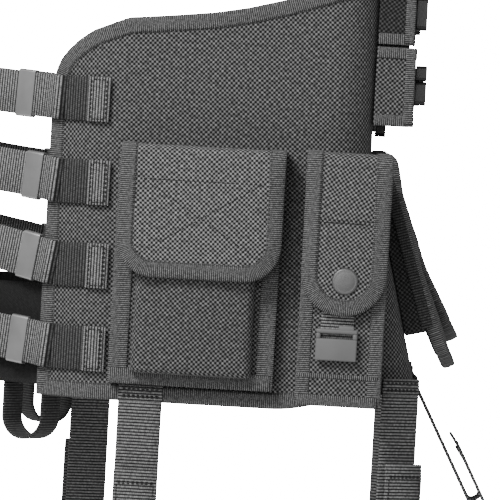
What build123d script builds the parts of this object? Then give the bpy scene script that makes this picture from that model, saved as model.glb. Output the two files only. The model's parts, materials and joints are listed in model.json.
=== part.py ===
"""Load-carrying vest: padded panels, side straps, pouches and belt loops.

Millimetres. +Z is up, the wearer faces -Y and the wearer's right is -X. The origin is
where the shoulder pads rest on the shoulders. Heights below are above the hem, unless
they are named as drops below the shoulders. The right side is modelled, and the left
is its mirror image except where a piece says otherwise.
"""
from build123d import *
from math import asin, atan2, cos, degrees, radians, sin, tan
import os

os.makedirs("parts", exist_ok=True)

# Overall sizes
half_width = 165
half_depth = 159
hem_drop = 470
panel_thickness = 5

# Plan of the vest
corner_radius = 30
bend_y = 38
bend_radius = 80
bend_angle = radians(32)
side_edge_y = 75
back_edge_y = 130
back_corner_radius = 55
yoke_half_width = 125
yoke_corner_radius = 22
front_gap = 3

# Flare of the front below the chest
flare_height = 187
flare_reach = 47
front_hem_rise = 15

# Outlines, as heights above the hem
armhole_height = 280
back_armhole_height = 238
neck_height = 262
yoke_height = 330
wing_height = 246

# Webbing, bindings and clearances
webbing_width = 32
webbing_thickness = 2.2
binding_width = 12
binding_proud = 1
trim_allowance = 6
seat_gap = 0.5
sewn_gap = 0.2

# Shoulder pads
pad_radius = 92
pad_thickness = 8
pad_inner_x = 62
pad_width = 60

# Side straps
tab_pitch = 60.5
lowest_tab_height = 35.5
tab_front_y = 28
tab_rear_y = 64
tab_thickness = 3.2
strap_thickness = 3
strap_length = 94
strap_tilts = [6, 10, 6, 3]
keeper_y = [89.4, 84.8, 84.8, 93.4]
keeper_width = 14.5
keeper_wall = 1.1
keeper_clearance = 0.4

# Utility pouch on the side
utility_y = -37
utility_width = 120.4
utility_depth = 27
utility_bottom = 12
utility_flap_width = 121
utility_flap_top = 187
utility_flap_drop = 97
utility_flap_radius = 26

# Radio pouch on the front corner
radio_y = -144
radio_width = 62
radio_depth = 33
radio_bottom = 5
radio_flap_width = 60.6
radio_flap_top = 188.5
radio_flap_drop = 118.5
radio_flap_radius = 29.5
snap_height = 96.3
snap_cap_diameter = 19
snap_cap_thickness = 3
snap_stud_diameter = 10
snap_stud_thickness = 2.4
clip_height = 50
clip_width = 30
clip_length = 23
clip_thickness = 4.5
clip_slot_width = 23
clip_slot_length = 3.3
clip_webbing_width = 24
clip_webbing_length = 62

# Magazine pouches on the flared front
magazine_width = 56
magazine_gap = 4
magazine_inner_x = 27
magazine_top_depth = 14
magazine_bottom_depth = 25
magazine_length = 128
magazine_flap_drop = 134
magazine_flap_radius = 24

# Chest pouches above them
chest_x = 122
chest_width = 54
lower_chest_height = 209.5
lower_chest_length = 58
lower_chest_depth = 30
upper_chest_height = 269
upper_chest_length = 47
upper_chest_depth = 28

# Buckles
buckle_width = 32
buckle_thickness = 7.6
lower_chest_buckle_rise = 16.5
lower_chest_buckle_length = 29
upper_chest_buckle_rise = 12
upper_chest_buckle_length = 40
closure_buckle_length = 44
closure_height = 217
closure_pitch = 33
closure_strap_width = 25
closure_strap_end_x = 82

# Flaps, pouch walls and belt loops
pouch_wall = 2
flap_thickness = 3.5
flap_gap = 1
snap_gap = 3
loop_drop = 105
loop_height = 58
loop_depth = 12
loop_lean = radians(28)
front_loop_x = -92
corner_turn = radians(34)
right_side_loop_y = -1.4
left_side_loop_y = 45
anchor_length = 11.5
gusset_low = 6
gusset_high = 80
gusset_thickness = 3
hanger_set_back = 30
hanger_rise = 30
hanger_width = 40
hanger_drop = 72
hanger_depth = 25
handle_drop = 152
handle_width = 104
handle_reach = 20

hem_z = -hem_drop
closure_heights = [closure_height, closure_height + closure_pitch]
face_normal = (0, -1, 0)
flare_angle = atan2(flare_reach, flare_height)
panel_top_z = -pad_radius - binding_proud - 1
bend_tangent = bend_radius * tan(bend_angle / 2)
bend_start_y = bend_y - bend_tangent
bend_end_y = bend_y + bend_tangent * cos(bend_angle)
back_corner_x = half_width - (half_depth - bend_y) * tan(bend_angle)
split_y = -(half_depth - corner_radius + 6)


def height_z(height):
    return hem_z + height


def skin_angle(y):
    """Angle that the side has turned through, at a place along it."""
    if y <= bend_start_y:
        return 0
    if y >= bend_end_y:
        return bend_angle
    return asin((y - bend_start_y) / bend_radius)


def skin_plane(y, z, out=0):
    """Plane on the right side: X to the front, Y up, Z outwards."""
    angle = skin_angle(y)
    normal = Vector(-cos(angle), sin(angle), 0)
    if angle < bend_angle:
        centre = Vector(bend_radius - half_width, bend_start_y, z)
        point = centre + normal * bend_radius
        if angle == 0:
            point = Vector(-half_width, y, z)
    else:
        point = Vector((y - bend_y) * tan(bend_angle) - half_width, y, z)
    return Plane(origin=point + normal * out, x_dir=(-sin(angle), -cos(angle), 0), z_dir=normal)


def front_plane(x, z, out=0):
    """Plane on the upright part of the front: X to the left, Y up, Z outwards."""
    return Plane(origin=(x, -half_depth - out, z), x_dir=(1, 0, 0), z_dir=face_normal)


def flare_plane(x, drop, out=0):
    """Plane on the flared part of the front, at a distance down its slope."""
    normal = Vector(0, -cos(flare_angle), sin(flare_angle))
    slope = Vector(0, -sin(flare_angle), -cos(flare_angle))
    top = Vector(x, -half_depth, height_z(flare_height))
    return Plane(origin=top + slope * drop + normal * out, x_dir=(1, 0, 0), z_dir=normal)


def profile_plane(plane):
    """Plane across a face plane: X outwards and Y up."""
    return Plane(origin=plane.origin, x_dir=plane.z_dir, z_dir=-plane.x_dir)


def shifted(plane, x=0, y=0, z=0):
    """The same plane with its origin moved along its own axes."""
    return Plane(origin=plane.from_local_coords((x, y, z)), x_dir=plane.x_dir, z_dir=plane.z_dir)


def front_section(z, face_y, grow):
    """Plan of a right front panel at one height, grown on both faces."""
    skin = panel_thickness + grow
    past = side_edge_y + trim_allowance
    edge = Vector((past - bend_y) * tan(bend_angle) - half_width, past)
    normal = Vector(-cos(bend_angle), sin(bend_angle))
    bend_end = Vector(bend_tangent * sin(bend_angle) - half_width, bend_end_y)
    corner = (corner_radius - half_width, face_y + corner_radius)
    with BuildSketch(Plane.XY.offset(z)) as section:
        with BuildLine():
            Line((trim_allowance - front_gap, face_y - grow), (corner[0], face_y - grow))
            CenterArc(corner, corner_radius + grow, 180, 90)
            Line((-half_width - grow, corner[1]), (-half_width - grow, bend_start_y))
            CenterArc((bend_radius - half_width, bend_start_y), bend_radius + grow, 180,
                      -degrees(bend_angle))
            Line(bend_end + normal * grow, edge + normal * grow)
            Line(edge + normal * grow, edge - normal * skin)
            Line(edge - normal * skin, bend_end - normal * skin)
            CenterArc((bend_radius - half_width, bend_start_y), bend_radius - skin, 180,
                      -degrees(bend_angle))
            Line((skin - half_width, bend_start_y), (skin - half_width, corner[1]))
            CenterArc(corner, corner_radius - skin, 180, 90)
            Line((corner[0], face_y + skin), (trim_allowance - front_gap, face_y + skin))
            Line((trim_allowance - front_gap, face_y + skin), (trim_allowance - front_gap, face_y - grow))
        make_face()
    return section.sketch


def back_section(z, corner_x, radius, edge_y, grow):
    """Plan of the back panel at one height, grown on both faces."""
    skin = panel_thickness + grow
    turn = radians(90) - bend_angle
    tangent = radius * tan(turn / 2)
    normal = Vector(-cos(bend_angle), sin(bend_angle))
    heading = Vector(sin(bend_angle), cos(bend_angle))
    corner = Vector(-corner_x, half_depth)
    edge = corner - heading * ((half_depth - edge_y + trim_allowance) / cos(bend_angle))
    start = corner - heading * tangent
    centre = start - normal * radius
    turn_start = degrees(atan2(normal.Y, normal.X))
    with BuildSketch(Plane.XY.offset(z)) as section:
        with BuildLine():
            Line(edge + normal * grow, start + normal * grow)
            CenterArc((centre.X, centre.Y), radius + grow, turn_start, -degrees(turn))
            Line((centre.X, half_depth + grow), (0, half_depth + grow))
            Line((0, half_depth + grow), (0, half_depth - skin))
            Line((0, half_depth - skin), (centre.X, half_depth - skin))
            CenterArc((centre.X, centre.Y), radius - skin, 90, degrees(turn))
            Line(start - normal * skin, edge - normal * skin)
            Line(edge - normal * skin, edge + normal * grow)
        make_face()
        mirror(about=Plane.YZ)
    return section.sketch


def front_band(grow):
    """The right front panel before its edges are cut to shape."""
    hem_face = -half_depth - flare_reach * (1 + trim_allowance / flare_height)
    with BuildPart() as band:
        loft([front_section(hem_z - trim_allowance, hem_face, grow),
              front_section(height_z(flare_height), -half_depth, grow),
              front_section(panel_top_z + trim_allowance, -half_depth, grow)], ruled=True)
    return band.part


def back_band(grow):
    """The back panel before its edges are cut to shape."""
    with BuildPart() as band:
        loft([back_section(hem_z - trim_allowance, back_corner_x, back_corner_radius, back_edge_y, grow),
              back_section(height_z(wing_height), back_corner_x, back_corner_radius, back_edge_y, grow),
              back_section(height_z(yoke_height), yoke_half_width, yoke_corner_radius,
                           half_depth - 20, grow),
              back_section(panel_top_z + trim_allowance, yoke_half_width, yoke_corner_radius,
                           half_depth - 20, grow)],
             ruled=True)
    return band.part


def front_outline(inset):
    """What the right front panel's edges enclose: its side seen from the side, its front from the front."""
    rear = side_edge_y - inset
    low = height_z(armhole_height) - inset
    hem = hem_z + inset
    far = half_depth + 90
    outer = -pad_inner_x - pad_width + inset
    inner = -pad_inner_x - inset
    top = panel_top_z - inset
    neck = height_z(neck_height) - inset
    centre = -front_gap - inset
    with BuildPart() as outline:
        with BuildSketch(Plane.YZ.offset(-half_width - 60)) as side:
            with BuildLine():
                Polyline((rear, low - 47), (rear, hem), (-far, hem), (-far, low + 45),
                         (-half_depth, low + 45))
                Spline((-half_depth, low + 45), (-half_depth + 24, low + 33), (-half_depth + 65, low + 17),
                       (-7, low), (rear - 28, low - 14), (rear, low - 47),
                       tangents=[(0.8, -0.6), (0.05, -1)])
            make_face()
            with Locations((split_y - 200, low)):
                Rectangle(400, 2 * hem_drop, mode=Mode.SUBTRACT)
        extrude(amount=120)
        with BuildSketch(Plane.XZ.offset(-split_y)) as front:
            with BuildLine():
                Polyline((centre, neck), (centre, hem + front_hem_rise),
                         (-half_width - 60, hem + front_hem_rise),
                         (-half_width - 60, low + 30), (-half_width, low + 30))
                Spline((-half_width, low + 30), (outer - 26, low + 54), (outer, top),
                       tangents=[(1, 0.2), (0.2, 1)])
                Line((outer, top), (inner, top))
                Spline((inner, top), (inner + 18, neck + 42), (centre, neck),
                       tangents=[(0.1, -1), (1, -0.35)])
            make_face()
        extrude(amount=half_depth + flare_reach)
    return outline.part


def back_outline(inset):
    """What the back panel's edges enclose, seen from behind."""
    outer = pad_inner_x + pad_width - inset
    inner = pad_inner_x + inset
    low = height_z(back_armhole_height) - inset
    wing_x = half_width - (back_edge_y - bend_y) * tan(bend_angle) - inset
    top = panel_top_z - inset
    with BuildPart() as outline:
        with BuildSketch(Plane.XZ) as back:
            with BuildLine():
                Polyline((0, hem_z + inset), (wing_x, hem_z + inset), (wing_x, low - 12))
                Spline((wing_x, low - 12), (wing_x - 10, low + 12), (wing_x - 16, low + 60), (outer, top),
                       tangents=[(0, 1), (0.3, 1)])
                Line((outer, top), (inner, top))
                Spline((inner, top), (0, top - 22), tangents=[(-0.2, -1), (-1, 0)])
                Line((0, top - 22), (0, hem_z + inset))
            make_face()
            mirror(about=Plane.YZ)
        extrude(amount=-half_depth - 60)
    return outline.part


def panel(band, outline):
    """A padded panel: its band cut to its outline."""
    with BuildPart() as cut:
        add(band)
        add(outline, mode=Mode.INTERSECT)
    return cut


def binding(band, outer, inner, panel_solid):
    """Tape folded over a panel's edge: a channel that holds the edge."""
    with BuildPart() as tape:
        add(band)
        add(outer, mode=Mode.INTERSECT)
        add(inner, mode=Mode.SUBTRACT)
        add(panel_solid, mode=Mode.SUBTRACT)
    return tape


def finish(piece, name):
    """Label a piece and write it."""
    piece.part.label = name
    export_step(piece.part, f"parts/{name}.step")


def finish_pair(piece, name):
    """Write a right-hand piece and its left-hand twin."""
    finish(piece, f"right_{name}")
    with BuildPart() as twin:
        mirror(piece.part, about=Plane.YZ)
    finish(twin, f"left_{name}")


def pouch(plane, width, height, top_depth, bottom_depth, open_bottom=False):
    """An open-topped pocket standing on a face, its origin at the middle of its lower edge."""
    floor = -1 if open_bottom else pouch_wall
    with BuildPart() as pocket:
        with BuildSketch(profile_plane(plane)):
            with BuildLine():
                Polyline((0, 0), (bottom_depth, 0), (top_depth, height), (0, height), close=True)
            make_face()
        extrude(amount=width / 2, both=True)
        with BuildSketch(profile_plane(plane)):
            with BuildLine():
                Polyline((pouch_wall, floor), (bottom_depth - pouch_wall, floor),
                         (top_depth - pouch_wall, height + 1), (pouch_wall, height + 1), close=True)
            make_face()
        extrude(amount=width / 2 - pouch_wall, both=True, mode=Mode.SUBTRACT)
    return pocket


def flap(plane, width, drop, radius, top_depth, bottom_depth, gap):
    """A flap over a pouch, its origin at the middle of its top edge."""
    slope = (bottom_depth - top_depth) / drop
    top_out = top_depth + gap
    low_out = top_out + slope * drop
    with BuildPart() as cover:
        with BuildSketch(profile_plane(plane)):
            with BuildLine():
                Polyline((1, 0), (top_out + flap_thickness, 0), (low_out + flap_thickness, -drop),
                         (low_out, -drop), (top_out + slope * flap_thickness, -flap_thickness),
                         (1, -flap_thickness), close=True)
            make_face()
        extrude(amount=width / 2, both=True)
        short = cover.edges().filter_by(lambda edge: abs(edge.length - flap_thickness) < 0.4)
        fillet(short.sort_by(Axis.Z)[:2], radius=radius)
    return cover


def buckle_socket(plane, length):
    """The female half of a side-release buckle: X across, Y towards its mouth, Z outwards."""
    with BuildPart() as socket:
        with BuildSketch(plane):
            with Locations((0, 0)):
                Rectangle(buckle_width, 0.6 * length, align=(Align.CENTER, Align.MIN))
        extrude(amount=buckle_thickness)
        fillet(socket.edges().filter_by(Axis(plane.origin, plane.z_dir)), radius=3)
        with BuildSketch(shifted(plane, y=0.14 * length, z=1.5)):
            Rectangle(buckle_width - 6, length, align=(Align.CENTER, Align.MIN))
        extrude(amount=buckle_thickness - 3, mode=Mode.SUBTRACT)
    return socket


def buckle_plug(plane, length):
    """The male half: a grip with a tongue and two prongs inside the socket."""
    grip_start = 0.6 * length + 0.4
    reach = 0.42 * length
    with BuildPart() as plug:
        with BuildSketch(shifted(plane, y=grip_start)):
            Rectangle(buckle_width, length - grip_start, align=(Align.CENTER, Align.MIN))
        extrude(amount=buckle_thickness)
        fillet(plug.edges().filter_by(Axis(plane.origin, plane.z_dir)), radius=2.5)
        with BuildSketch(shifted(plane, y=grip_start - reach, z=2.1)):
            for across, finger in ((0, 5), (-buckle_width / 2 + 6, 4), (buckle_width / 2 - 6, 4)):
                with Locations((across, 0)):
                    Rectangle(finger, reach + 2, align=(Align.CENTER, Align.MIN))
        extrude(amount=buckle_thickness - 4.2)
        with BuildSketch(shifted(plane, y=length - 4.5, z=-1)):
            Rectangle(closure_strap_width + 1, 3, align=(Align.CENTER, Align.CENTER))
        extrude(amount=buckle_thickness + 2, mode=Mode.SUBTRACT)
    return plug


def belt_loop(plane):
    """Webbing that hangs from the hem and closes round a belt, its origin on the hem."""
    with BuildPart() as loop:
        with BuildSketch(profile_plane(plane)):
            with Locations((0, -sewn_gap)):
                Rectangle(webbing_thickness, loop_drop - loop_height / 2, align=(Align.MIN, Align.MAX))
            with Locations((loop_depth / 2, loop_height / 2 - loop_drop)):
                RectangleRounded(loop_depth, loop_height, loop_depth / 2 - 0.1)
                RectangleRounded(loop_depth - 2 * webbing_thickness, loop_height - 2 * webbing_thickness,
                                 loop_depth / 2 - webbing_thickness - 0.1, mode=Mode.SUBTRACT)
        extrude(amount=webbing_width / 2, both=True)
    return loop


def sewn_end(plane, out):
    """The sewn end of a belt loop, on the panel above the hem."""
    with BuildPart() as end:
        with BuildSketch(shifted(plane, z=out)):
            Rectangle(webbing_width, anchor_length, align=(Align.CENTER, Align.MIN))
        extrude(amount=webbing_thickness)
    return end.part


# Panels and the tape folded over their edges
front_shape = front_outline(0)
right_front_panel = panel(front_band(0), front_shape)
finish_pair(right_front_panel, "front_panel")
back_panel = panel(back_band(0), back_outline(0))
finish(back_panel, "back_panel")
front_tape = binding(front_band(binding_proud), front_outline(-binding_proud),
                     front_outline(binding_width - binding_proud), right_front_panel.part)
back_tape = binding(back_band(binding_proud), back_outline(-binding_proud),
                    back_outline(binding_width - binding_proud), back_panel.part)
finish_pair(front_tape, "front_binding")
finish(back_tape, "back_binding")

# Shoulder pads arch from the front panel's top to the back panel's top
pad_out = half_depth + binding_proud
pad_foot_z = panel_top_z + binding_proud
with BuildPart() as shoulder_pad:
    with BuildSketch(Plane.YZ.offset(-pad_inner_x - pad_width)):
        with BuildLine():
            outer_arch = FilletPolyline((-pad_out, pad_foot_z), (-pad_out, pad_thickness),
                                        (pad_out, pad_thickness), (pad_out, pad_foot_z),
                                        radius=pad_radius + pad_thickness)
            offset(outer_arch, amount=pad_thickness, side=Side.RIGHT, closed=True)
        make_face()
    extrude(amount=pad_width)
finish_pair(shoulder_pad, "shoulder_pad")

# Webbing sewn over each pad and down onto the panels
with BuildPart() as shoulder_straps:
    with BuildSketch(Plane.YZ.offset(-pad_inner_x - pad_width / 2 - webbing_width / 2)):
        with BuildLine():
            strap_arch = FilletPolyline((-pad_out - webbing_thickness, panel_top_z - 34),
                                        (-pad_out - webbing_thickness, pad_thickness + webbing_thickness),
                                        (pad_out + webbing_thickness, pad_thickness + webbing_thickness),
                                        (pad_out + webbing_thickness, panel_top_z - 34),
                                        radius=pad_radius + pad_thickness + webbing_thickness)
            offset(strap_arch, amount=webbing_thickness, side=Side.RIGHT, closed=True)
        make_face()
    extrude(amount=webbing_width)
    mirror(about=Plane.YZ)
finish(shoulder_straps, "shoulder_straps")

# Side tabs: folded webbing sewn round the bend of the side
with BuildPart() as side_tabs:
    front_turn = degrees(skin_angle(tab_front_y))
    centre = (bend_radius - half_width, bend_start_y)
    for row in range(4):
        low_z = height_z(lowest_tab_height + row * tab_pitch) - webbing_width / 2
        tab_top = binding_proud + tab_thickness
        rear = skin_plane(tab_rear_y, low_z, binding_proud)
        rear_out = skin_plane(tab_rear_y, low_z, tab_top)
        bend_end = skin_plane(bend_end_y, low_z, binding_proud)
        bend_end_out = skin_plane(bend_end_y, low_z, tab_top)
        front = skin_plane(tab_front_y, low_z, binding_proud)
        front_out = skin_plane(tab_front_y, low_z, tab_top)
        with BuildSketch(Plane.XY.offset(low_z)):
            with BuildLine():
                CenterArc(centre, bend_radius + binding_proud, 180 - front_turn,
                          front_turn - degrees(bend_angle))
                Line((bend_end.origin.X, bend_end.origin.Y), (rear.origin.X, rear.origin.Y))
                Line((rear.origin.X, rear.origin.Y), (rear_out.origin.X, rear_out.origin.Y))
                Line((rear_out.origin.X, rear_out.origin.Y), (bend_end_out.origin.X, bend_end_out.origin.Y))
                CenterArc(centre, bend_radius + tab_top, 180 - front_turn,
                          front_turn - degrees(bend_angle))
                Line((front_out.origin.X, front_out.origin.Y), (front.origin.X, front.origin.Y))
            make_face()
        extrude(amount=webbing_width)
    mirror(about=Plane.YZ)
finish(side_tabs, "side_tabs")


def strap_plane(row, y, out=0):
    """Plane on one side strap: X along it towards the back, Y across it, Z outwards."""
    start = skin_plane(tab_rear_y + seat_gap, height_z(lowest_tab_height + row * tab_pitch), out)
    tilt = radians(strap_tilts[row])
    along = Vector(-start.x_dir.X * cos(tilt), -start.x_dir.Y * cos(tilt), sin(tilt))
    distance = (y - tab_rear_y - seat_gap) / along.Y
    return Plane(origin=start.origin + along * distance, x_dir=along, z_dir=start.z_dir)


# Side straps run back from the tabs over the open side
with BuildPart() as side_straps:
    for row in range(4):
        lift = webbing_width / 2 * tan(radians(strap_tilts[row]))
        with BuildSketch(strap_plane(row, tab_rear_y + seat_gap, binding_proud)):
            with Locations((lift + seat_gap, 0)):
                Rectangle(strap_length, webbing_width, align=(Align.MIN, Align.CENTER))
        extrude(amount=strap_thickness)
    mirror(about=Plane.YZ)
finish(side_straps, "side_straps")

# Keepers: metal sleeves that slide along the straps
for row in range(4):
    reach = keeper_clearance + keeper_wall
    opening_height = webbing_width + 2 * keeper_clearance
    opening_depth = strap_thickness + 2 * keeper_clearance
    with BuildPart() as keeper:
        with BuildSketch(strap_plane(row, keeper_y[row], binding_proud - reach)):
            Rectangle(keeper_width, opening_height + 2 * keeper_wall)
        extrude(amount=opening_depth + 2 * keeper_wall)
        with BuildSketch(strap_plane(row, keeper_y[row], binding_proud - keeper_clearance)):
            Rectangle(2 * keeper_width, opening_height)
        extrude(amount=opening_depth, mode=Mode.SUBTRACT)
    finish_pair(keeper, f"strap_keeper_{row + 1}")

# Utility pouch and its flap
utility_height = utility_flap_top - flap_thickness - flap_gap - utility_bottom
utility_pouch = pouch(skin_plane(utility_y, height_z(utility_bottom)), utility_width, utility_height,
                      utility_depth, utility_depth)
finish_pair(utility_pouch, "utility_pouch")
utility_flap = flap(skin_plane(utility_y, height_z(utility_flap_top)), utility_flap_width,
                    utility_flap_drop, utility_flap_radius, utility_depth, utility_depth, flap_gap)
finish_pair(utility_flap, "utility_flap")

# Radio pouch, its flap, snap fastener and clip tab
radio_out = binding_proud + sewn_gap
radio_height = radio_flap_top - flap_thickness - flap_gap - radio_bottom
radio_pouch = pouch(skin_plane(radio_y, height_z(radio_bottom), radio_out), radio_width, radio_height,
                    radio_depth, radio_depth)
finish_pair(radio_pouch, "radio_pouch")
radio_flap = flap(skin_plane(radio_y, height_z(radio_flap_top), radio_out), radio_flap_width,
                  radio_flap_drop, radio_flap_radius, radio_depth, radio_depth, snap_gap)
finish_pair(radio_flap, "radio_flap")
flap_face = radio_out + radio_depth + snap_gap + flap_thickness
with BuildPart() as snap_cap:
    with BuildSketch(skin_plane(radio_y - 1, height_z(snap_height), flap_face)):
        Circle(snap_cap_diameter / 2)
    extrude(amount=snap_cap_thickness)
    fillet(snap_cap.faces().sort_by(Axis.X)[0].edges(), radius=snap_cap_thickness / 2)
finish_pair(snap_cap, "snap_cap")
with BuildPart() as snap_studs:
    with BuildSketch(skin_plane(radio_y - 1, height_z(snap_height), radio_out + radio_depth)):
        Circle(snap_stud_diameter / 2)
    extrude(amount=snap_stud_thickness)
    mirror(about=Plane.YZ)
finish(snap_studs, "snap_studs")
clip_y = radio_y + 2.7
with BuildPart() as clip_webbings:
    with BuildSketch(skin_plane(clip_y, height_z(radio_bottom + 15), radio_out + radio_depth)):
        Rectangle(clip_webbing_width, clip_webbing_length, align=(Align.CENTER, Align.MIN))
    extrude(amount=webbing_thickness)
    mirror(about=Plane.YZ)
finish(clip_webbings, "clip_webbings")
with BuildPart() as clip_tabs:
    clip_base = skin_plane(clip_y, height_z(clip_height), radio_out + radio_depth + webbing_thickness)
    with BuildSketch(clip_base):
        RectangleRounded(clip_width, clip_length, 2)
        with Locations((clip_width / 2 - 6, clip_length / 2)):
            RectangleRounded(9, 8, 2)
        with Locations((0, clip_length / 2 - 4.5)):
            Rectangle(clip_slot_width, clip_slot_length, mode=Mode.SUBTRACT)
    extrude(amount=clip_thickness)
    mirror(about=Plane.YZ)
finish(clip_tabs, "clip_tabs")

# Magazine pouches and their flaps, on the flared front
magazine_top_drop = 2
magazine_pitch = magazine_width + magazine_gap
inner_magazine_x = -magazine_inner_x - magazine_width / 2
magazine_foot = magazine_top_drop + flap_thickness + flap_gap + magazine_length
with BuildPart() as magazine_pouch:
    for x in (inner_magazine_x, inner_magazine_x - magazine_pitch):
        add(pouch(flare_plane(x, magazine_foot), magazine_width, magazine_length,
                  magazine_top_depth, magazine_bottom_depth).part)
finish_pair(magazine_pouch, "magazine_pouch")
for place, x in (("inner", inner_magazine_x), ("outer", inner_magazine_x - magazine_pitch)):
    magazine_flap = flap(flare_plane(x, magazine_top_drop), magazine_width, magazine_flap_drop,
                         magazine_flap_radius, magazine_top_depth, magazine_bottom_depth, flap_gap)
    finish_pair(magazine_flap, f"{place}_magazine_flap")

# Chest pouches: a sleeve open at both ends under an open-topped pouch
lower_chest_pouch = pouch(front_plane(-chest_x, height_z(lower_chest_height)), chest_width,
                          lower_chest_length, lower_chest_depth, lower_chest_depth, open_bottom=True)
finish_pair(lower_chest_pouch, "lower_chest_pouch")
upper_chest_pouch = pouch(front_plane(-chest_x, height_z(upper_chest_height)), chest_width,
                          upper_chest_length, upper_chest_depth, upper_chest_depth)
finish_pair(upper_chest_pouch, "upper_chest_pouch")

# Side-release buckles on the chest pouches and across the front opening
lower_chest_buckle = front_plane(-chest_x, height_z(lower_chest_height + lower_chest_buckle_rise),
                                 lower_chest_depth)
upper_chest_buckle = front_plane(-chest_x, height_z(upper_chest_height + upper_chest_buckle_rise),
                                 upper_chest_depth)
closure_out = binding_proud + webbing_thickness + seat_gap
closure_planes = [Plane(origin=(-closure_buckle_length / 2, -half_depth - closure_out, height_z(height)),
                        x_dir=(0, 0, -1), z_dir=face_normal) for height in closure_heights]
with BuildPart() as buckle_sockets:
    add(buckle_socket(lower_chest_buckle, lower_chest_buckle_length).part)
    add(buckle_socket(upper_chest_buckle, upper_chest_buckle_length).part)
    mirror(about=Plane.YZ)
    for plane in closure_planes:
        add(buckle_socket(plane, closure_buckle_length).part)
finish(buckle_sockets, "buckle_sockets")
finish_pair(buckle_plug(lower_chest_buckle, lower_chest_buckle_length), "lower_chest_plug")
finish_pair(buckle_plug(upper_chest_buckle, upper_chest_buckle_length), "upper_chest_plug")
finish(buckle_plug(closure_planes[0], closure_buckle_length), "lower_closure_plug")
finish(buckle_plug(closure_planes[1], closure_buckle_length), "upper_closure_plug")
with BuildPart() as closure_straps:
    for height in closure_heights:
        with BuildSketch(front_plane(-closure_strap_end_x, height_z(height), binding_proud)):
            Rectangle(closure_strap_end_x - front_gap - 2, closure_strap_width,
                      align=(Align.MIN, Align.CENTER))
        extrude(amount=webbing_thickness)
    mirror(about=Plane.YZ)
finish(closure_straps, "closure_straps")

# Belt loops and their sewn ends
front_hem_slope = (flare_height - front_hem_rise) / cos(flare_angle)
front_hem = flare_plane(front_loop_x, front_hem_slope, binding_proud)
hanging_front = Plane(origin=front_hem.origin, x_dir=(1, 0, 0), z_dir=(0, -cos(loop_lean), sin(loop_lean)))
corner_normal = Vector(-cos(corner_turn), -sin(corner_turn), 0)
corner_hem_reach = flare_reach * (1 - front_hem_rise / flare_height)
corner_centre = Vector(corner_radius - half_width, corner_radius - half_depth - corner_hem_reach,
                       height_z(front_hem_rise))
corner_hem = Plane(origin=corner_centre + corner_normal * (corner_radius + binding_proud + sewn_gap),
                   x_dir=(sin(corner_turn), -cos(corner_turn), 0), z_dir=corner_normal)
side_hem = skin_plane(right_side_loop_y, hem_z, binding_proud)
rear_hem = skin_plane(left_side_loop_y, hem_z, binding_proud + sewn_gap)
hanging_drop = -binding_proud - seat_gap
finish_pair(belt_loop(shifted(hanging_front, y=hanging_drop, z=sewn_gap)), "front_belt_loop")
finish_pair(belt_loop(shifted(corner_hem, y=hanging_drop)), "corner_belt_loop")
finish(belt_loop(shifted(side_hem, y=hanging_drop)), "right_side_belt_loop")
with BuildPart() as left_side_belt_loop:
    mirror(belt_loop(shifted(rear_hem, y=hanging_drop)).part, about=Plane.YZ)
finish(left_side_belt_loop, "left_side_belt_loop")
with BuildPart() as belt_loop_ends:
    add(sewn_end(front_hem, sewn_gap))
    add(sewn_end(corner_hem, 0))
    mirror(about=Plane.YZ)
    add(sewn_end(side_hem, 0))
    mirror(sewn_end(rear_hem, 0), about=Plane.YZ)
finish(belt_loop_ends, "belt_loop_ends")

# Elastic gussets behind the lowest straps, and the webbing that hangs from them
gusset_front_y = side_edge_y - 9
gusset_length = (back_edge_y + 4 - gusset_front_y) / cos(bend_angle)
gusset_out = -panel_thickness - binding_proud - sewn_gap
gusset_plane = skin_plane(gusset_front_y, height_z(gusset_low), gusset_out)
with BuildPart() as waist_gussets:
    with BuildSketch(gusset_plane):
        Rectangle(gusset_length, gusset_high - gusset_low, align=(Align.MAX, Align.MIN))
    extrude(amount=-gusset_thickness)
    mirror(about=Plane.YZ)
finish(waist_gussets, "waist_gussets")
with BuildPart() as hanger_loops:
    with BuildSketch(shifted(gusset_plane, x=-hanger_set_back, y=hanger_rise, z=-gusset_thickness)):
        with Locations((0, -hanger_drop / 2)):
            RectangleRounded(hanger_width, hanger_drop, hanger_width / 2 - 0.1)
            RectangleRounded(hanger_width - 2 * webbing_thickness, hanger_drop - 2 * webbing_thickness,
                             hanger_width / 2 - webbing_thickness - 0.1, mode=Mode.SUBTRACT)
    extrude(amount=-hanger_depth)
    mirror(about=Plane.YZ)
finish(hanger_loops, "hanger_loops")

# Drag handle across the back, below the neck
with BuildPart() as drag_handle:
    with BuildSketch(Plane.XY.offset(-handle_drop - webbing_width / 2)):
        with Locations((0, half_depth + sewn_gap)):
            Rectangle(handle_width, webbing_thickness, align=(Align.CENTER, Align.MIN))
            Trapezoid(handle_width - 24, handle_reach, 60, align=(Align.CENTER, Align.MIN))
            Trapezoid(handle_width - 29, handle_reach - webbing_thickness, 60,
                      align=(Align.CENTER, Align.MIN), mode=Mode.SUBTRACT)
    extrude(amount=webbing_width)
finish(drag_handle, "drag_handle")
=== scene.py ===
"""Looks of a black load-carrying vest. Local sizes are millimetres, turned to metres when a mesh is made."""
import json
import math

import bpy
from mathutils import Matrix, Vector, noise

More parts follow.
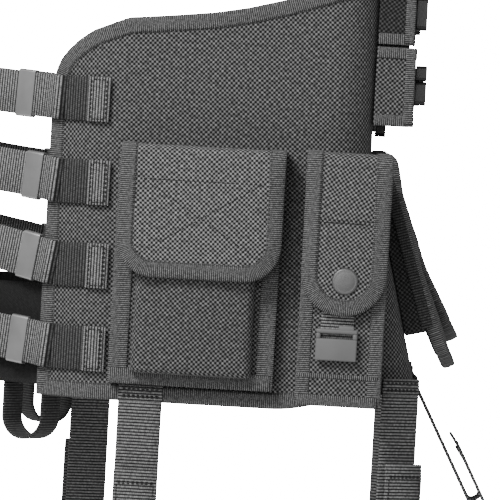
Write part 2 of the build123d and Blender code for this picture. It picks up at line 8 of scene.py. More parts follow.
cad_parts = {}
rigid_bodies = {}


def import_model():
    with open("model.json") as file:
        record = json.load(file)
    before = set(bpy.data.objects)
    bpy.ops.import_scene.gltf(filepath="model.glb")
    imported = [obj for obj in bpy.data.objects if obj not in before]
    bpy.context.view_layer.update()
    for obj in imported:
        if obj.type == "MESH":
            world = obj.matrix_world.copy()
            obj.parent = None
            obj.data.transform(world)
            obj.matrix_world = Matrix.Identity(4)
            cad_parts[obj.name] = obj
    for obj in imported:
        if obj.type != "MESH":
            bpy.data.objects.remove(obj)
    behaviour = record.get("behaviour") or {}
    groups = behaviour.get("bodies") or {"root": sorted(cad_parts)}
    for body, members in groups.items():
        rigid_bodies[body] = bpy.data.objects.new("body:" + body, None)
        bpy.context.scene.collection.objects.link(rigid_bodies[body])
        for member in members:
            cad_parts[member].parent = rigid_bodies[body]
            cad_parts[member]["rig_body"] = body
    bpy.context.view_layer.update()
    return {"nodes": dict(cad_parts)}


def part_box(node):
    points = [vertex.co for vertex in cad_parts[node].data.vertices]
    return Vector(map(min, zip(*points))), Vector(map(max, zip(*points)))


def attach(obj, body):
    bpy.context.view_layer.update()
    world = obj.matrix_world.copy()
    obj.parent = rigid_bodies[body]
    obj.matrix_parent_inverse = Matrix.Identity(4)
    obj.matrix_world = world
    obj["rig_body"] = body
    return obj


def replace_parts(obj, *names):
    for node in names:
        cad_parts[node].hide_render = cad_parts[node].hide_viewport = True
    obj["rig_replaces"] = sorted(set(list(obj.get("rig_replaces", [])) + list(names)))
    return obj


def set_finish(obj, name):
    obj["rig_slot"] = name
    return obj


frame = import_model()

MM = 0.001
SIDES = ("right", "left")


def low(node):
    """Lowest corner of a CAD node, in millimetres."""
    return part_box(node)[0] / MM


def high(node):
    """Highest corner of a CAD node, in millimetres."""
    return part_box(node)[1] / MM


# ---------------------------------------------------------------- sizes
panel_low, panel_high = low("right_front_panel"), high("right_front_panel")
HALF_WIDTH = -panel_low.x
HEM = panel_low.z
SHOULDER = panel_high.z
EDGE_Y = panel_high.y
CENTRE_X = panel_high.x
PAD_OUTER = -low("right_shoulder_pad").x
PAD_INNER = -high("right_shoulder_pad").x
LOWER_CHEST_DEPTH = 30
UPPER_CHEST_DEPTH = 28
CHEST_Y = low("right_lower_chest_pouch").y + LOWER_CHEST_DEPTH

# The lower front stands out from the chest
FLARE_TOP = high("right_utility_flap").z
FLARE_REACH = 47
FLARE = math.atan2(FLARE_REACH, FLARE_TOP - HEM)
FRONT_HEM_RISE = 15

# Plan of the side: a corner at the front, and a bend behind the side tabs
CORNER = 30
CORNER_Y = CHEST_Y + CORNER
BEND_RADIUS = 80
BEND = math.radians(32)
BEND_Y = 38
BEND_START = BEND_Y - BEND_RADIUS * math.tan(BEND / 2)

# Cloth and webbing
PANEL_THICKNESS = 5
TAPE_WIDTH = 12
WEBBING = 32
LOOP_THICKNESS = 2.2
STITCH_PITCH = 3.2
TAB_PITCH = 60.5
LOWEST_TAB = 35.5


# ---------------------------------------------------------------- camera and light
SENSOR = 36
CAMERA_DISTANCE = 4.2
SEEN_WIDTH = 0.3636
CAMERA_AIM = Vector((-HALF_WIDTH, -75, -356)) * MM
LIGHT_AIM = Vector((-0.1, -0.05, -0.35))
FLOOR_HEIGHT = -1.3


def place_camera():
    azimuth, elevation, roll = math.radians(-89.5), math.radians(1.4), math.radians(3.3)
    away = Vector((math.sin(azimuth) * math.cos(elevation), -math.cos(azimuth) * math.cos(elevation),
                   math.sin(elevation)))
    camera = bpy.data.objects.new("camera", bpy.data.cameras.new("camera"))
    bpy.context.collection.objects.link(camera)
    turn = away.to_track_quat("Z", "Y").to_matrix().to_4x4() @ Matrix.Rotation(roll, 4, "Z")
    camera.matrix_world = Matrix.Translation(CAMERA_AIM + away * CAMERA_DISTANCE) @ turn
    camera.data.lens = SENSOR * CAMERA_DISTANCE / SEEN_WIDTH
    camera.data.clip_end = 50
    bpy.context.scene.camera = camera


def place_light(name, position, size, power):
    light = bpy.data.objects.new(name, bpy.data.lights.new(name, "AREA"))
    light.data.energy = power
    light.data.size = size
    bpy.context.collection.objects.link(light)
    away = Vector(position) - LIGHT_AIM
    light.matrix_world = Matrix.Translation(position) @ away.to_track_quat("Z", "Y").to_matrix().to_4x4()


def floor():
    """Plain pale floor, well below the vest."""
    bpy.ops.object.select_all(action="DESELECT")
    bpy.ops.mesh.primitive_plane_add(size=6, location=(0, 0, FLOOR_HEIGHT))
    ground = bpy.context.object
    ground.name = "floor"
    material, _, shader = new_material("floor_paper", 0.9)
    shader.inputs["Base Color"].default_value = (0.85, 0.85, 0.85, 1)
    ground.data.materials.append(material)


def set_world():
    """Bright behind the vest, and dim as a light."""
    world = bpy.data.worlds.new("studio")
    bpy.context.scene.world = world
    world.use_nodes = True
    nodes, links = world.node_tree.nodes, world.node_tree.links
    nodes.clear()
    out = nodes.new("ShaderNodeOutputWorld")
    mix = nodes.new("ShaderNodeMixShader")
    seen, lit = nodes.new("ShaderNodeBackground"), nodes.new("ShaderNodeBackground")
    for shade, strength in ((seen, 40.0), (lit, 0.2)):
        shade.inputs["Color"].default_value = (1, 1, 1, 1)
        shade.inputs["Strength"].default_value = strength
    links.new(nodes.new("ShaderNodeLightPath").outputs["Is Camera Ray"], mix.inputs[0])
    links.new(lit.outputs[0], mix.inputs[1])
    links.new(seen.outputs[0], mix.inputs[2])
    links.new(mix.outputs[0], out.inputs[0])


# ---------------------------------------------------------------- shader groups
def group(name, inputs, outputs):
    """A shader group: an input with a value is a number, and one with none is a place."""
    tree = bpy.data.node_groups.new(name, "ShaderNodeTree")
    for title, value in inputs.items():
        kind = "NodeSocketVector" if value is None else "NodeSocketFloat"
        socket = tree.interface.new_socket(title, in_out="INPUT", socket_type=kind)
        if value is not None:
            socket.default_value = value
    for title in outputs:
        tree.interface.new_socket(title, in_out="OUTPUT", socket_type="NodeSocketFloat")
    return tree, tree.nodes.new("NodeGroupInput"), tree.nodes.new("NodeGroupOutput")


def maths(tree, operation, first, second=None):
    node = tree.nodes.new("ShaderNodeMath")
    node.operation = operation
    for index, value in enumerate((first, second)):
        if isinstance(value, (int, float)):
            node.inputs[index].default_value = value
        elif value is not None:
            tree.links.new(value, node.inputs[index])
    return node.outputs[0]


def in_millimetres(tree, value):
    node = tree.nodes.new("ShaderNodeVectorMath")
    node.operation = "SCALE"
    node.inputs[3].default_value = 1000
    tree.links.new(value, node.inputs[0])
    return node.outputs[0]


def fine_noise(tree, value, scale, detail):
    node = tree.nodes.new("ShaderNodeTexNoise")
    node.inputs["Detail"].default_value = detail
    tree.links.new(value, node.inputs["Vector"])
    if isinstance(scale, (int, float)):
        node.inputs["Scale"].default_value = scale
    else:
        tree.links.new(scale, node.inputs["Scale"])
    return node


def centred(tree, value):
    """A wave from -1 to 1, moved to run from 0 to 1."""
    return maths(tree, "ADD", maths(tree, "MULTIPLY", value, 0.5), 0.5)


def wave(tree, value):
    """0 to 1 wave with one turn for each unit of value."""
    return centred(tree, maths(tree, "SINE", maths(tree, "MULTIPLY", value, 2 * math.pi)))


def weave_group():
    """Plain weave: yarns that go over and under each other, in millimetres of cloth."""
    inputs = {"Vector": None, "Pitch": 1.7, "Turn": 0.0}
    tree, given, out = group("plain_weave", inputs, ["Height", "Mottle"])
    place = in_millimetres(tree, given.outputs["Vector"])
    soft = fine_noise(tree, place, 0.05, 2)
    drift = tree.nodes.new("ShaderNodeVectorMath")
    drift.operation = "MULTIPLY_ADD"
    tree.links.new(soft.outputs["Color"], drift.inputs[0])
    drift.inputs[1].default_value = (2.2, 2.2, 0)
    tree.links.new(place, drift.inputs[2])
    turn = tree.nodes.new("ShaderNodeVectorRotate")
    turn.rotation_type = "Z_AXIS"
    tree.links.new(drift.outputs[0], turn.inputs["Vector"])
    tree.links.new(given.outputs["Turn"], turn.inputs["Angle"])
    parts = tree.nodes.new("ShaderNodeSeparateXYZ")
    tree.links.new(turn.outputs[0], parts.inputs[0])
    step = maths(tree, "DIVIDE", math.pi, given.outputs["Pitch"])
    warp, weft = (maths(tree, "SINE", maths(tree, "MULTIPLY", parts.outputs[k], step)) for k in (0, 1))
    tree.links.new(centred(tree, maths(tree, "MULTIPLY", warp, weft)), out.inputs["Height"])
    tree.links.new(fine_noise(tree, place, 0.35, 6).outputs["Fac"], out.inputs["Mottle"])
    return tree


def rib_group():
    """Ribbed webbing: ribs across the strap, each a row of beads, staggered from rib to rib."""
    inputs = {"Vector": None, "Rib": 2.2, "Bead": 1.5, "Stitch": -99.0}
    tree, given, out = group("ribbed_webbing", inputs, ["Height", "Mottle", "Thread"])
    place = in_millimetres(tree, given.outputs["Vector"])
    parts = tree.nodes.new("ShaderNodeSeparateXYZ")
    tree.links.new(place, parts.inputs[0])
    along, across = parts.outputs[0], parts.outputs[1]
    ribs = maths(tree, "DIVIDE", along, given.outputs["Rib"])
    stagger = maths(tree, "MULTIPLY", maths(tree, "FLOOR", ribs), 0.5)
    bead = wave(tree, maths(tree, "ADD", maths(tree, "DIVIDE", across, given.outputs["Bead"]), stagger))
    swell = maths(tree, "ADD", maths(tree, "MULTIPLY", bead, 0.55), 0.45)
    tree.links.new(maths(tree, "MULTIPLY", wave(tree, ribs), swell), out.inputs["Height"])
    tree.links.new(fine_noise(tree, place, 0.5, 5).outputs["Fac"], out.inputs["Mottle"])
    near = maths(tree, "ABSOLUTE", maths(tree, "SUBTRACT", across, given.outputs["Stitch"]))
    line = maths(tree, "LESS_THAN", near, 0.55)
    dash = maths(tree, "LESS_THAN", maths(tree, "FRACT", maths(tree, "DIVIDE", along, STITCH_PITCH)), 0.62)
    tree.links.new(maths(tree, "MULTIPLY", line, dash), out.inputs["Thread"])
    return tree


def metal_group():
    """Fine grain and rubbed patches for satin metal and moulded plastic."""
    tree, given, out = group("satin_grain", {"Vector": None, "Grain": 900.0}, ["Grain", "Patch"])
    place = given.outputs["Vector"]
    tree.links.new(fine_noise(tree, place, given.outputs["Grain"], 3).outputs["Fac"], out.inputs["Grain"])
    tree.links.new(fine_noise(tree, place, 60, 4).outputs["Fac"], out.inputs["Patch"])
    return tree


WEAVE = weave_group()
RIBS = rib_group()
GRAIN = metal_group()


def new_material(name, roughness, specular=0.3, metallic=0.0):
    material = bpy.data.materials.new(name)
    material.use_nodes = True
    shader = material.node_tree.nodes["Principled BSDF"]
    shader.inputs["Roughness"].default_value = roughness
    shader.inputs["Specular IOR Level"].default_value = specular
    shader.inputs["Metallic"].default_value = metallic
    return material, material.node_tree, shader


def ramp(tree, value, dark, bright, start=0.0, end=1.0):
    node = tree.nodes.new("ShaderNodeValToRGB")
    node.color_ramp.elements[0].position = start
    node.color_ramp.elements[1].position = end
    node.color_ramp.elements[0].color = (*dark, 1)
    node.color_ramp.elements[1].color = (*bright, 1)
    tree.links.new(value, node.inputs[0])
    return node.outputs[0]


def blended(tree, mode, factor, first, second):
    node = tree.nodes.new("ShaderNodeMix")
    node.data_type = "RGBA"
    node.blend_type = mode
    for index, value in ((0, factor), (6, first), (7, second)):
        if isinstance(value, tuple):
            node.inputs[index].default_value = (*value, 1)
        elif isinstance(value, float):
            node.inputs[index].default_value = value
        else:
            tree.links.new(value, node.inputs[index])
    return node.outputs[2]


def bump(tree, shader, height, strength, distance):
    node = tree.nodes.new("ShaderNodeBump")
    node.inputs["Strength"].default_value = strength
    node.inputs["Distance"].default_value = distance
    tree.links.new(height, node.inputs["Height"])
    tree.links.new(node.outputs[0], shader.inputs["Normal"])


def grey(value):
    return (value, value, value)


def placed_group(tree, pattern, place, **values):
    """A shader group in a material, reading its place from a socket."""
    node = tree.nodes.new("ShaderNodeGroup")
    node.node_tree = pattern
    tree.links.new(place, node.inputs["Vector"])
    for title, value in values.items():
        node.inputs[title].default_value = value
    return node


def cloth_material(name, turn=0.0, dark=0.006, bright=0.25):
    material, tree, shader = new_material(name, 0.72, 0.25)
    pattern = placed_group(tree, WEAVE, tree.nodes.new("ShaderNodeUVMap").outputs[0], Pitch=1.7, Turn=turn)
    tone = ramp(tree, pattern.outputs["Height"], grey(dark), grey(bright), 0.3, 0.85)
    shade = ramp(tree, pattern.outputs["Mottle"], grey(0.5), grey(1.5), 0.3, 0.7)
    tree.links.new(blended(tree, "MULTIPLY", 1.0, tone, shade), shader.inputs["Base Color"])
    shader.inputs["Sheen Weight"].default_value = 0.12
    bump(tree, shader, pattern.outputs["Height"], 0.8, 0.0005)
    return material


def webbing_material(name, rib=2.2, bead=1.5, dark=0.005, bright=0.34, stitch=-99.0):
    """Ribbed webbing; stitch is where a row of thread runs across its width, far off for none."""
    material, tree, shader = new_material(name, 0.66, 0.3)
    place = tree.nodes.new("ShaderNodeUVMap").outputs[0]
    pattern = placed_group(tree, RIBS, place, Rib=rib, Bead=bead, Stitch=stitch)
    ribs, thread = pattern.outputs["Height"], pattern.outputs["Thread"]
    tone = ramp(tree, ribs, grey(dark), grey(bright), 0.08, 0.6)
    shade = ramp(tree, pattern.outputs["Mottle"], grey(0.45), grey(1.55), 0.3, 0.7)
    woven = blended(tree, "MULTIPLY", 1.0, tone, shade)
    sewn = blended(tree, "MIX", maths(tree, "MULTIPLY", thread, 0.75), woven, grey(0.035))
    tree.links.new(sewn, shader.inputs["Base Color"])
    shader.inputs["Sheen Weight"].default_value = 0.1
    bump(tree, shader, maths(tree, "SUBTRACT", ribs, thread), 0.7, 0.0005)
    return material


def grain_material(name, base, roughness, metallic=0.0, specular=0.5, grain=900.0):
    material, tree, shader = new_material(name, roughness, specular, metallic)
    pattern = placed_group(tree, GRAIN, tree.nodes.new("ShaderNodeTexCoord").outputs["Object"], Grain=grain)
    tone = ramp(tree, pattern.outputs["Patch"], grey(base * 0.88), grey(base * 1.12))
    tree.links.new(tone, shader.inputs["Base Color"])
    rough = maths(tree, "ADD", maths(tree, "MULTIPLY", pattern.outputs["Patch"], 0.2), roughness - 0.1)
    tree.links.new(rough, shader.inputs["Roughness"])
    bump(tree, shader, pattern.outputs["Grain"], 0.12, 0.0002)
    return material


PANEL_CLOTH = cloth_material("panel_cloth", turn=math.radians(3))
POUCH_CLOTH = cloth_material("pouch_cloth", turn=math.radians(1), bright=0.24)
# Painted shade: a darker copy of the cloth for the magazine pouch bodies and the upper chest pouch, which
# lie in shadow.
PAINTED_SHADE_CLOTH = cloth_material("shaded_cloth", turn=math.radians(4), dark=0.003, bright=0.08)
FLAP_CLOTH = cloth_material("flap_cloth", turn=math.radians(-2), dark=0.008, bright=0.36)
FLAP2_CLOTH = cloth_material("radio_flap_cloth", turn=math.radians(6), dark=0.008, bright=0.3)
STRAP_WEBBING = webbing_material("strap_webbing")
LOOP_WEBBING = webbing_material("loop_webbing", rib=2.3, bead=1.3, bright=0.3)
# Painted shade: a darker copy of the strap webbing for the tab bodies, beside their raised sewn ends.
PAINTED_SHADE_TAB_WEBBING = webbing_material("tab_webbing", bright=0.1)
# Painted shade: a darker copy of the webbing for the shaded front faces of the strap folds, the magazine
# pouch side tapes and the hanger loops.
PAINTED_SHADE_WEBBING = webbing_material("painted_shade_webbing", rib=2.0, bead=1.3, dark=0.004, bright=0.1)
EDGE_TAPE = webbing_material("edge_tape", rib=1.45, bead=1.2, dark=0.008, bright=0.24, stitch=-10.2)
THREAD = grain_material("sewing_thread", 0.012, 0.6, grain=2500.0)
SATIN_METAL = grain_material("satin_metal", 0.62, 0.36, metallic=0.8)
CAP_METAL = grain_material("snap_metal", 0.2, 0.4, metallic=0.6)
CLIP_PLASTIC = grain_material("clip_plastic", 0.19, 0.45)
BUCKLE_PLASTIC = grain_material("buckle_plastic", 0.02, 0.3, specular=0.6)
ELASTIC = webbing_material("elastic", rib=1.1, bead=1.2, dark=0.004, bright=0.018)


# ---------------------------------------------------------------- mesh helpers
def make_mesh(name, points, faces, uvs, material):
    """A smooth mesh from points in millimetres, with one UV in millimetres for each point."""
    mesh = bpy.data.meshes.new(name)
    mesh.from_pydata([tuple(point * MM) for point in points], [], faces)
    layer = mesh.uv_layers.new(name="cloth")
    for loop in mesh.loops:
        u, v = uvs[loop.vertex_index]
        layer.data[loop.index].uv = (u * MM, v * MM)
    mesh.materials.append(material)
    mesh.polygons.foreach_set("use_smooth", [True] * len(mesh.polygons))
    mesh.update()
    obj = bpy.data.objects.new(name, mesh)
    bpy.context.collection.objects.link(obj)
    return obj


def settle(obj, body="vest", nodes=(), slot="pouch_fabric"):
    """Put a finished piece on its body, and let it stand for its CAD nodes."""
    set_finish(obj, slot)
    if nodes:
        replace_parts(obj, *nodes)
    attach(obj, body)
    return obj


def twin(obj, body="vest", nodes=()):
    """The left-hand mirror image of a right-hand piece."""
    name = obj.name.replace("right", "left") if "right" in obj.name else obj.name + "_left"
    other = obj.copy()
    other.name = name
    other.data = obj.data.copy()
    other.parent = None
    other.matrix_world = Matrix.Identity(4)
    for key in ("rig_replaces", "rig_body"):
        if key in other:
            del other[key]
    bpy.context.collection.objects.link(other)
    other.data.transform(Matrix.Scale(-1, 4, (1, 0, 0)))
    other.data.flip_normals()
    return settle(other, body, nodes, obj["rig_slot"])


def both_sides(obj, body="vest", nodes=(), slot="pouch_fabric", shared=()):
    """Settle a right-hand piece and make its twin. Names of bodies and nodes leave the side out."""
    bodies = [f"{side}_{body}" if body != "vest" else "vest" for side in SIDES]
    named = [[f"{side}_{node}" for node in nodes] + list(shared) for side in SIDES]
    settle(obj, bodies[0], named[0], slot)
    other = twin(obj, bodies[1], named[1])
    return obj, other


def grid(name, rows, uv_rows, material, wrap=False):
    """A surface from rows of points; where it wraps round, its first and last rings are closed."""
    across = len(rows[0])
    points = [point for row in rows for point in row]
    uvs = [uv for row in uv_rows for uv in row]
    faces = []
    for r in range(len(rows) - 1):
        for c in range(across if wrap else across - 1):
            d = (c + 1) % across
            faces.append((r * across + c, r * across + d, (r + 1) * across + d, (r + 1) * across + c))
    if wrap:
        faces.append(tuple(range(across)))
        faces.append(tuple(reversed(range(len(points) - across, len(points)))))
    return make_mesh(name, points, faces, uvs, material)


def sweep(name, frames, section, material, closed_path=False):
    """A closed section carried along frames of (origin, across, normal)."""
    points, uvs, faces = [], [], []
    along = 0.0
    count = len(section)
    stations = list(frames) + ([frames[0]] if closed_path else [])
    previous = stations[0][0]
    for origin, across, normal in stations:
        along += (origin - previous).length
        previous = origin
        for x, y in section:
            points.append(origin + across * x + normal * y)
            uvs.append((along, x))
    for r in range(len(stations) - 1):
        for c in range(count):
            d = (c + 1) % count
            faces.append((r * count + c, (r + 1) * count + c, (r + 1) * count + d, r * count + d))
    if not closed_path:
        faces.append(tuple(range(count)))
        faces.append(tuple(reversed(range(len(points) - count, len(points)))))
    return make_mesh(name, points, faces, uvs, material)


def outward(obj):
    """Turn an object's faces outwards."""
    bpy.ops.object.select_all(action="DESELECT")
    bpy.context.view_layer.objects.active = obj
    obj.select_set(True)
    bpy.ops.object.mode_set(mode="EDIT")
    bpy.ops.mesh.select_all(action="SELECT")
    bpy.ops.mesh.normals_make_consistent(inside=False)
    bpy.ops.object.mode_set(mode="OBJECT")
    obj.select_set(False)
    return obj


def strap_section(width, thickness):
    a, h = width / 2, thickness / 2
    return [(-a, -0.4 * h), (-a, 0.4 * h), (-a + 0.7, h), (-a / 2, h), (0, h), (a / 2, h), (a - 0.7, h),
            (a, 0.4 * h), (a, -0.4 * h), (a - 0.7, -h), (0, -h), (-a + 0.7, -h)]


def tape_section(width, thickness, proud=1.0):
    """Tape folded over an edge: X outwards past the edge, Y along the outer normal."""
    inner = 1 - width
    outer_face = [(inner, -0.3), (inner + 0.3, proud * 0.9), (inner + 2.5, proud), (inner + 5, proud * 1.1),
                  (-3, proud * 1.15), (-0.5, proud * 0.9), (0.6, 0.3), (1.0, -thickness * 0.5)]
    inner_face = [(0.6, -thickness - 0.3), (-0.5, -thickness - proud * 0.9), (-3, -thickness - proud),
                  (inner + 0.3, -thickness - proud * 0.9), (inner, -thickness + 0.3)]
    return outer_face + inner_face


def surface_frame(surface, u, v, du, dv):
    """Point, in-surface outward direction and normal on a surface, walking along (du, dv)."""
    point = surface(u, v)
    along = surface(u + du * 0.2, v + dv * 0.2) - surface(u - du * 0.2, v - dv * 0.2)
    right = surface(u + 0.2, v) - surface(u - 0.2, v)
    up = surface(u, v + 0.2) - surface(u, v - 0.2)
    normal = right.cross(up).normalized()
    across = along.cross(normal).normalized()
    return point, across, normal


def neighbours(path, i, closed=False):
    """The points before and after one point of a path."""
    count = len(path)
    before = path[i - 1] if closed or i else path[0]
    after = path[(i + 1) % count] if closed or i < count - 1 else path[-1]
    return before, after


def surface_frames(surface, path, lift=0.0, closed=False):
    """Frames along a path of (u, v) on a surface."""
    frames = []
    for i, (u, v) in enumerate(path):
        before, after = neighbours(path, i, closed)
        size = math.dist(before, after) or 1
        du, dv = (after[0] - before[0]) / size, (after[1] - before[1]) / size
        point, across, normal = surface_frame(surface, u, v, du, dv)
        frames.append((point + normal * lift, across, normal))
    return frames


def tape(name, surface, path, width, thickness, closed=True, proud=1.0):
    """Edge tape along a path of (u, v) on a surface; it runs anticlockwise seen from outside."""
    frames = surface_frames(surface, path, closed=closed)
    return outward(sweep(name, frames, tape_section(width, thickness, proud), EDGE_TAPE, closed))


def ribbon(name, surface, path, width, thickness, material, lift=0.0):
    """Flat webbing that lies on a surface."""
    frames = surface_frames(surface, path, thickness / 2 + lift)
    return outward(sweep(name, frames, strap_section(width, thickness), material))


def solidify(obj, thickness):
    """Give a sheet its thickness, on its inner side."""
    modifier = obj.modifiers.new("thickness", "SOLIDIFY")
    modifier.thickness = thickness * MM
    modifier.offset = -1.0
    modifier.use_even_offset = True
    return obj


def stitches(name, surface, lines, size=0.42, lift=0.35):
    """Rows of thread stitches along straight lines of (u, v) on a surface."""
    points, uvs, faces = [], [], []
    for (u0, v0), (u1, v1) in lines:
        length = math.hypot(u1 - u0, v1 - v0)
        count = max(1, round(length / STITCH_PITCH))
        du, dv = (u1 - u0) / length, (v1 - v0) / length
        for k in range(count):
            middle = (k + 0.5) * length / count
            base = len(points)
            for reach, grow in ((-0.36, 0.25), (-0.2, 1), (0.2, 1), (0.36, 0.25)):
                spot = middle + reach * STITCH_PITCH
                point, across, normal = surface_frame(surface, u0 + du * spot, v0 + dv * spot, du, dv)
                for x, y in ((-1, -0.6), (-0.6, 0.7), (0.6, 0.7), (1, -0.6)):
                    points.append(point + across * x * size * grow + normal * (lift + y * size * grow))
                    uvs.append((spot, x))
            for r in range(3):
                for c in range(4):
                    d = (c + 1) % 4
                    near, far = base + r * 4, base + (r + 1) * 4
                    faces.append((near + c, far + c, far + d, near + d))
            faces.append((base, base + 1, base + 2, base + 3))
            faces.append((base + 15, base + 14, base + 13, base + 12))
    return outward(make_mesh(name, points, faces, uvs, THREAD))


def smoothstep(x):
    x = min(1.0, max(0.0, x))
    return x * x * (3 - 2 * x)


def through(table, x):
    """Straight lines through a short table of (x, y), rising in x."""
    if x <= table[0][0]:
        return table[0][1]
    for (x0, y0), (x1, y1) in zip(table, table[1:]):
        if x <= x1:
            return y0 + (y1 - y0) * (x - x0) / (x1 - x0)
    return table[-1][1]


def ripple(a, b, size, height):
    """Slight unevenness of cloth, the same at each run."""
    return height * noise.noise(Vector((a / size, b / size, 3.7)))


# ---------------------------------------------------------------- right front panel
def front_face(z):
    """Y of the front face at a height."""
    return CHEST_Y - FLARE_REACH * max(0.0, FLARE_TOP - z) / (FLARE_TOP - HEM)


def skin(q, z, out=0.0):
    """Right-hand skin of the vest: q is the distance along its plan, equal to Y on the flat side."""
    corner_y = front_face(z) + CORNER
    if q > BEND_START:
        turned = min(BEND, (q - BEND_START) / BEND_RADIUS)
        rest = q - BEND_START - turned * BEND_RADIUS
        normal = Vector((-math.cos(turned), math.sin(turned), 0))
        heading = Vector((math.sin(turned), math.cos(turned), 0))
        centre = Vector((BEND_RADIUS - HALF_WIDTH, BEND_START, z))
        return centre + normal * (BEND_RADIUS + out) + heading * rest
    if q >= corner_y:
        return Vector((-HALF_WIDTH - out, q, z))
    turned = min(math.pi / 2, (corner_y - q) / CORNER)
    rest = corner_y - q - turned * CORNER
    normal = Vector((-math.cos(turned), -math.sin(turned), 0))
    heading = Vector((math.sin(turned), -math.cos(turned), 0))
    return Vector((CORNER - HALF_WIDTH, corner_y, z)) + normal * (CORNER + out) + heading * rest


def q_at(y):
    """Distance along the plan at a Y on the side."""
    if y <= BEND_START:
        return y
    bend_end = BEND_START + BEND_RADIUS * math.sin(BEND)
    if y >= bend_end:
        return BEND_START + BEND * BEND_RADIUS + (y - bend_end) / math.cos(BEND)
    return BEND_START + BEND_RADIUS * math.asin((y - BEND_START) / BEND_RADIUS)


ARC = math.pi / 2 * CORNER
FRONT_Q = CORNER_Y - ARC
EDGE_Q = q_at(EDGE_Y)


def q_front(x):
    """Distance along the plan of a place on the front, at the chest."""
    return FRONT_Q - (HALF_WIDTH - CORNER - abs(x))


ARMHOLE = HEM + 280
TOP_LINE = [(q_front(CENTRE_X), HEM + 262), (q_front(-30), HEM + 283), (q_front(-46), HEM + 318),
            (q_front(-56), HEM + 352), (q_front(-PAD_INNER), SHOULDER), (q_front(-PAD_OUTER), SHOULDER),
            (q_front(-PAD_OUTER - 6), SHOULDER - 26), (FRONT_Q + 10, ARMHOLE + 44), (CORNER_Y, ARMHOLE + 29),
            (-94, ARMHOLE + 17), (-65, ARMHOLE + 9), (-40, ARMHOLE + 4), (-7, ARMHOLE), (22, ARMHOLE - 3),
            (q_at(47), ARMHOLE - 13), (q_at(58), ARMHOLE - 21), (q_at(66), ARMHOLE - 29),
            (q_at(71.5), ARMHOLE - 37), (EDGE_Q, ARMHOLE - 50)]


def hem_line(q):
    """The hem climbs from the side to the front."""
    return HEM + FRONT_HEM_RISE * smoothstep((-96 - q) / 85)


def panel_point(column, rise, columns_front, columns_side):
    """q and z of a panel's grid point."""
    if column < columns_front:
        reach = (ARC + HALF_WIDTH - CORNER + CENTRE_X) * (1 - column / columns_front)
        top_q, low_q = CORNER_Y - reach, front_face(HEM) + CORNER - reach
    else:
        share = (column - columns_front) / columns_side
        top_q = CORNER_Y + (EDGE_Q - CORNER_Y) * share
        low_y = front_face(HEM) + CORNER
        low_q = low_y + (EDGE_Q - low_y) * share
    top, bottom = through(TOP_LINE, top_q), hem_line(low_q)
    z = bottom + (top - bottom) * rise
    corner_y = front_face(z) + CORNER
    if column < columns_front:
        return corner_y - reach, z
    return corner_y + (EDGE_Q - corner_y) * share, z


def puffed_skin(q, z):
    """The skin with the slight waves of a padded cloth panel."""
    return skin(q, z, ripple(q, z, 55, 0.9) + ripple(q + 90, z, 24, 0.35))


def panel_face(u, z):
    """The panel seen from outside: u runs towards the front."""
    return puffed_skin(-u, z)


def right_front_panel():
    front, side, height = 66, 74, 96
    rows, uvs = [], []
    for r in range(height + 1):
        places = [panel_point(c, r / height, front, side) for c in range(front + side + 1)]
        rows.append([puffed_skin(q, z) for q, z in places])
        uvs.append(places)
    rows, uvs = [row[::-1] for row in rows], [row[::-1] for row in uvs]
    panel = solidify(grid("right_front_panel_cloth", rows, uvs, PANEL_CLOTH), PANEL_THICKNESS)
    both_sides(panel, nodes=["front_panel"], slot="padded_fabric")
    hem = [panel_point(c, 0, front, side) for c in range(front + side + 1)]
    rear = [panel_point(front + side, r / height, front, side) for r in range(1, height)]
    top = [panel_point(c, 1, front, side) for c in range(front + side, -1, -1)]
    centre = [panel_point(0, r / height, front, side) for r in range(height - 1, 0, -1)]
    edge = [(-q, z) for q, z in reversed(hem + rear + top + centre)]
    binding = tape("right_front_panel_tape", panel_face, edge, TAPE_WIDTH, PANEL_THICKNESS)
    both_sides(binding, nodes=["front_binding"], slot="binding_tape")


# ---------------------------------------------------------------- stands for pieces sewn on the panels
def stand(origin, across, out):
    """A frame with X across, Y up and Z away from the panel."""
    across, out = Vector(across).normalized(), Vector(out).normalized()
    up = out.cross(across)
    matrix = Matrix((across, up, out)).transposed().to_4x4()
    matrix.translation = Vector(origin)
    return matrix


def side_stand(y, z, out=0.0):
    """On the flat side: X runs towards the front."""
    return stand((-HALF_WIDTH - out, y, z), (0, -1, 0), (-1, 0, 0))


def front_stand(x, z, out=0.0):
    """On the chest."""
    return stand((x, CHEST_Y - out, z), (1, 0, 0), (0, -1, 0))


def flare_stand(x, drop, out=0.0):
    """On the lower front, that far down its slope."""
    down = Vector((0, -math.sin(FLARE), -math.cos(FLARE)))
    away = Vector((0, -math.cos(FLARE), math.sin(FLARE)))
    return stand(Vector((x, CHEST_Y, FLARE_TOP)) + down * drop + away * out, (1, 0, 0), away)


def skin_stand(y, z, out=0.0):
    """On the bent part of the side."""
    here, ahead = skin(q_at(y), z, out), skin(q_at(y) - 0.1, z, out)
    across = (ahead - here).normalized()
    return stand(here, across, across.cross(Vector((0, 0, 1))))


def strap(name, base, path, width, thickness, material):
    """Webbing whose line (v, w) is drawn in a stand's YZ plane; its width runs along X."""
    frames = []
    side = (base.to_3x3() @ Vector((1, 0, 0))).normalized()
    for i, (v, w) in enumerate(path):
        before, after = neighbours(path, i)
        along = (base.to_3x3() @ Vector((0, after[0] - before[0], after[1] - before[1]))).normalized()
        frames.append((base @ Vector((0, v, w)), side, along.cross(side)))
    return outward(sweep(name, frames, strap_section(width, thickness), material))


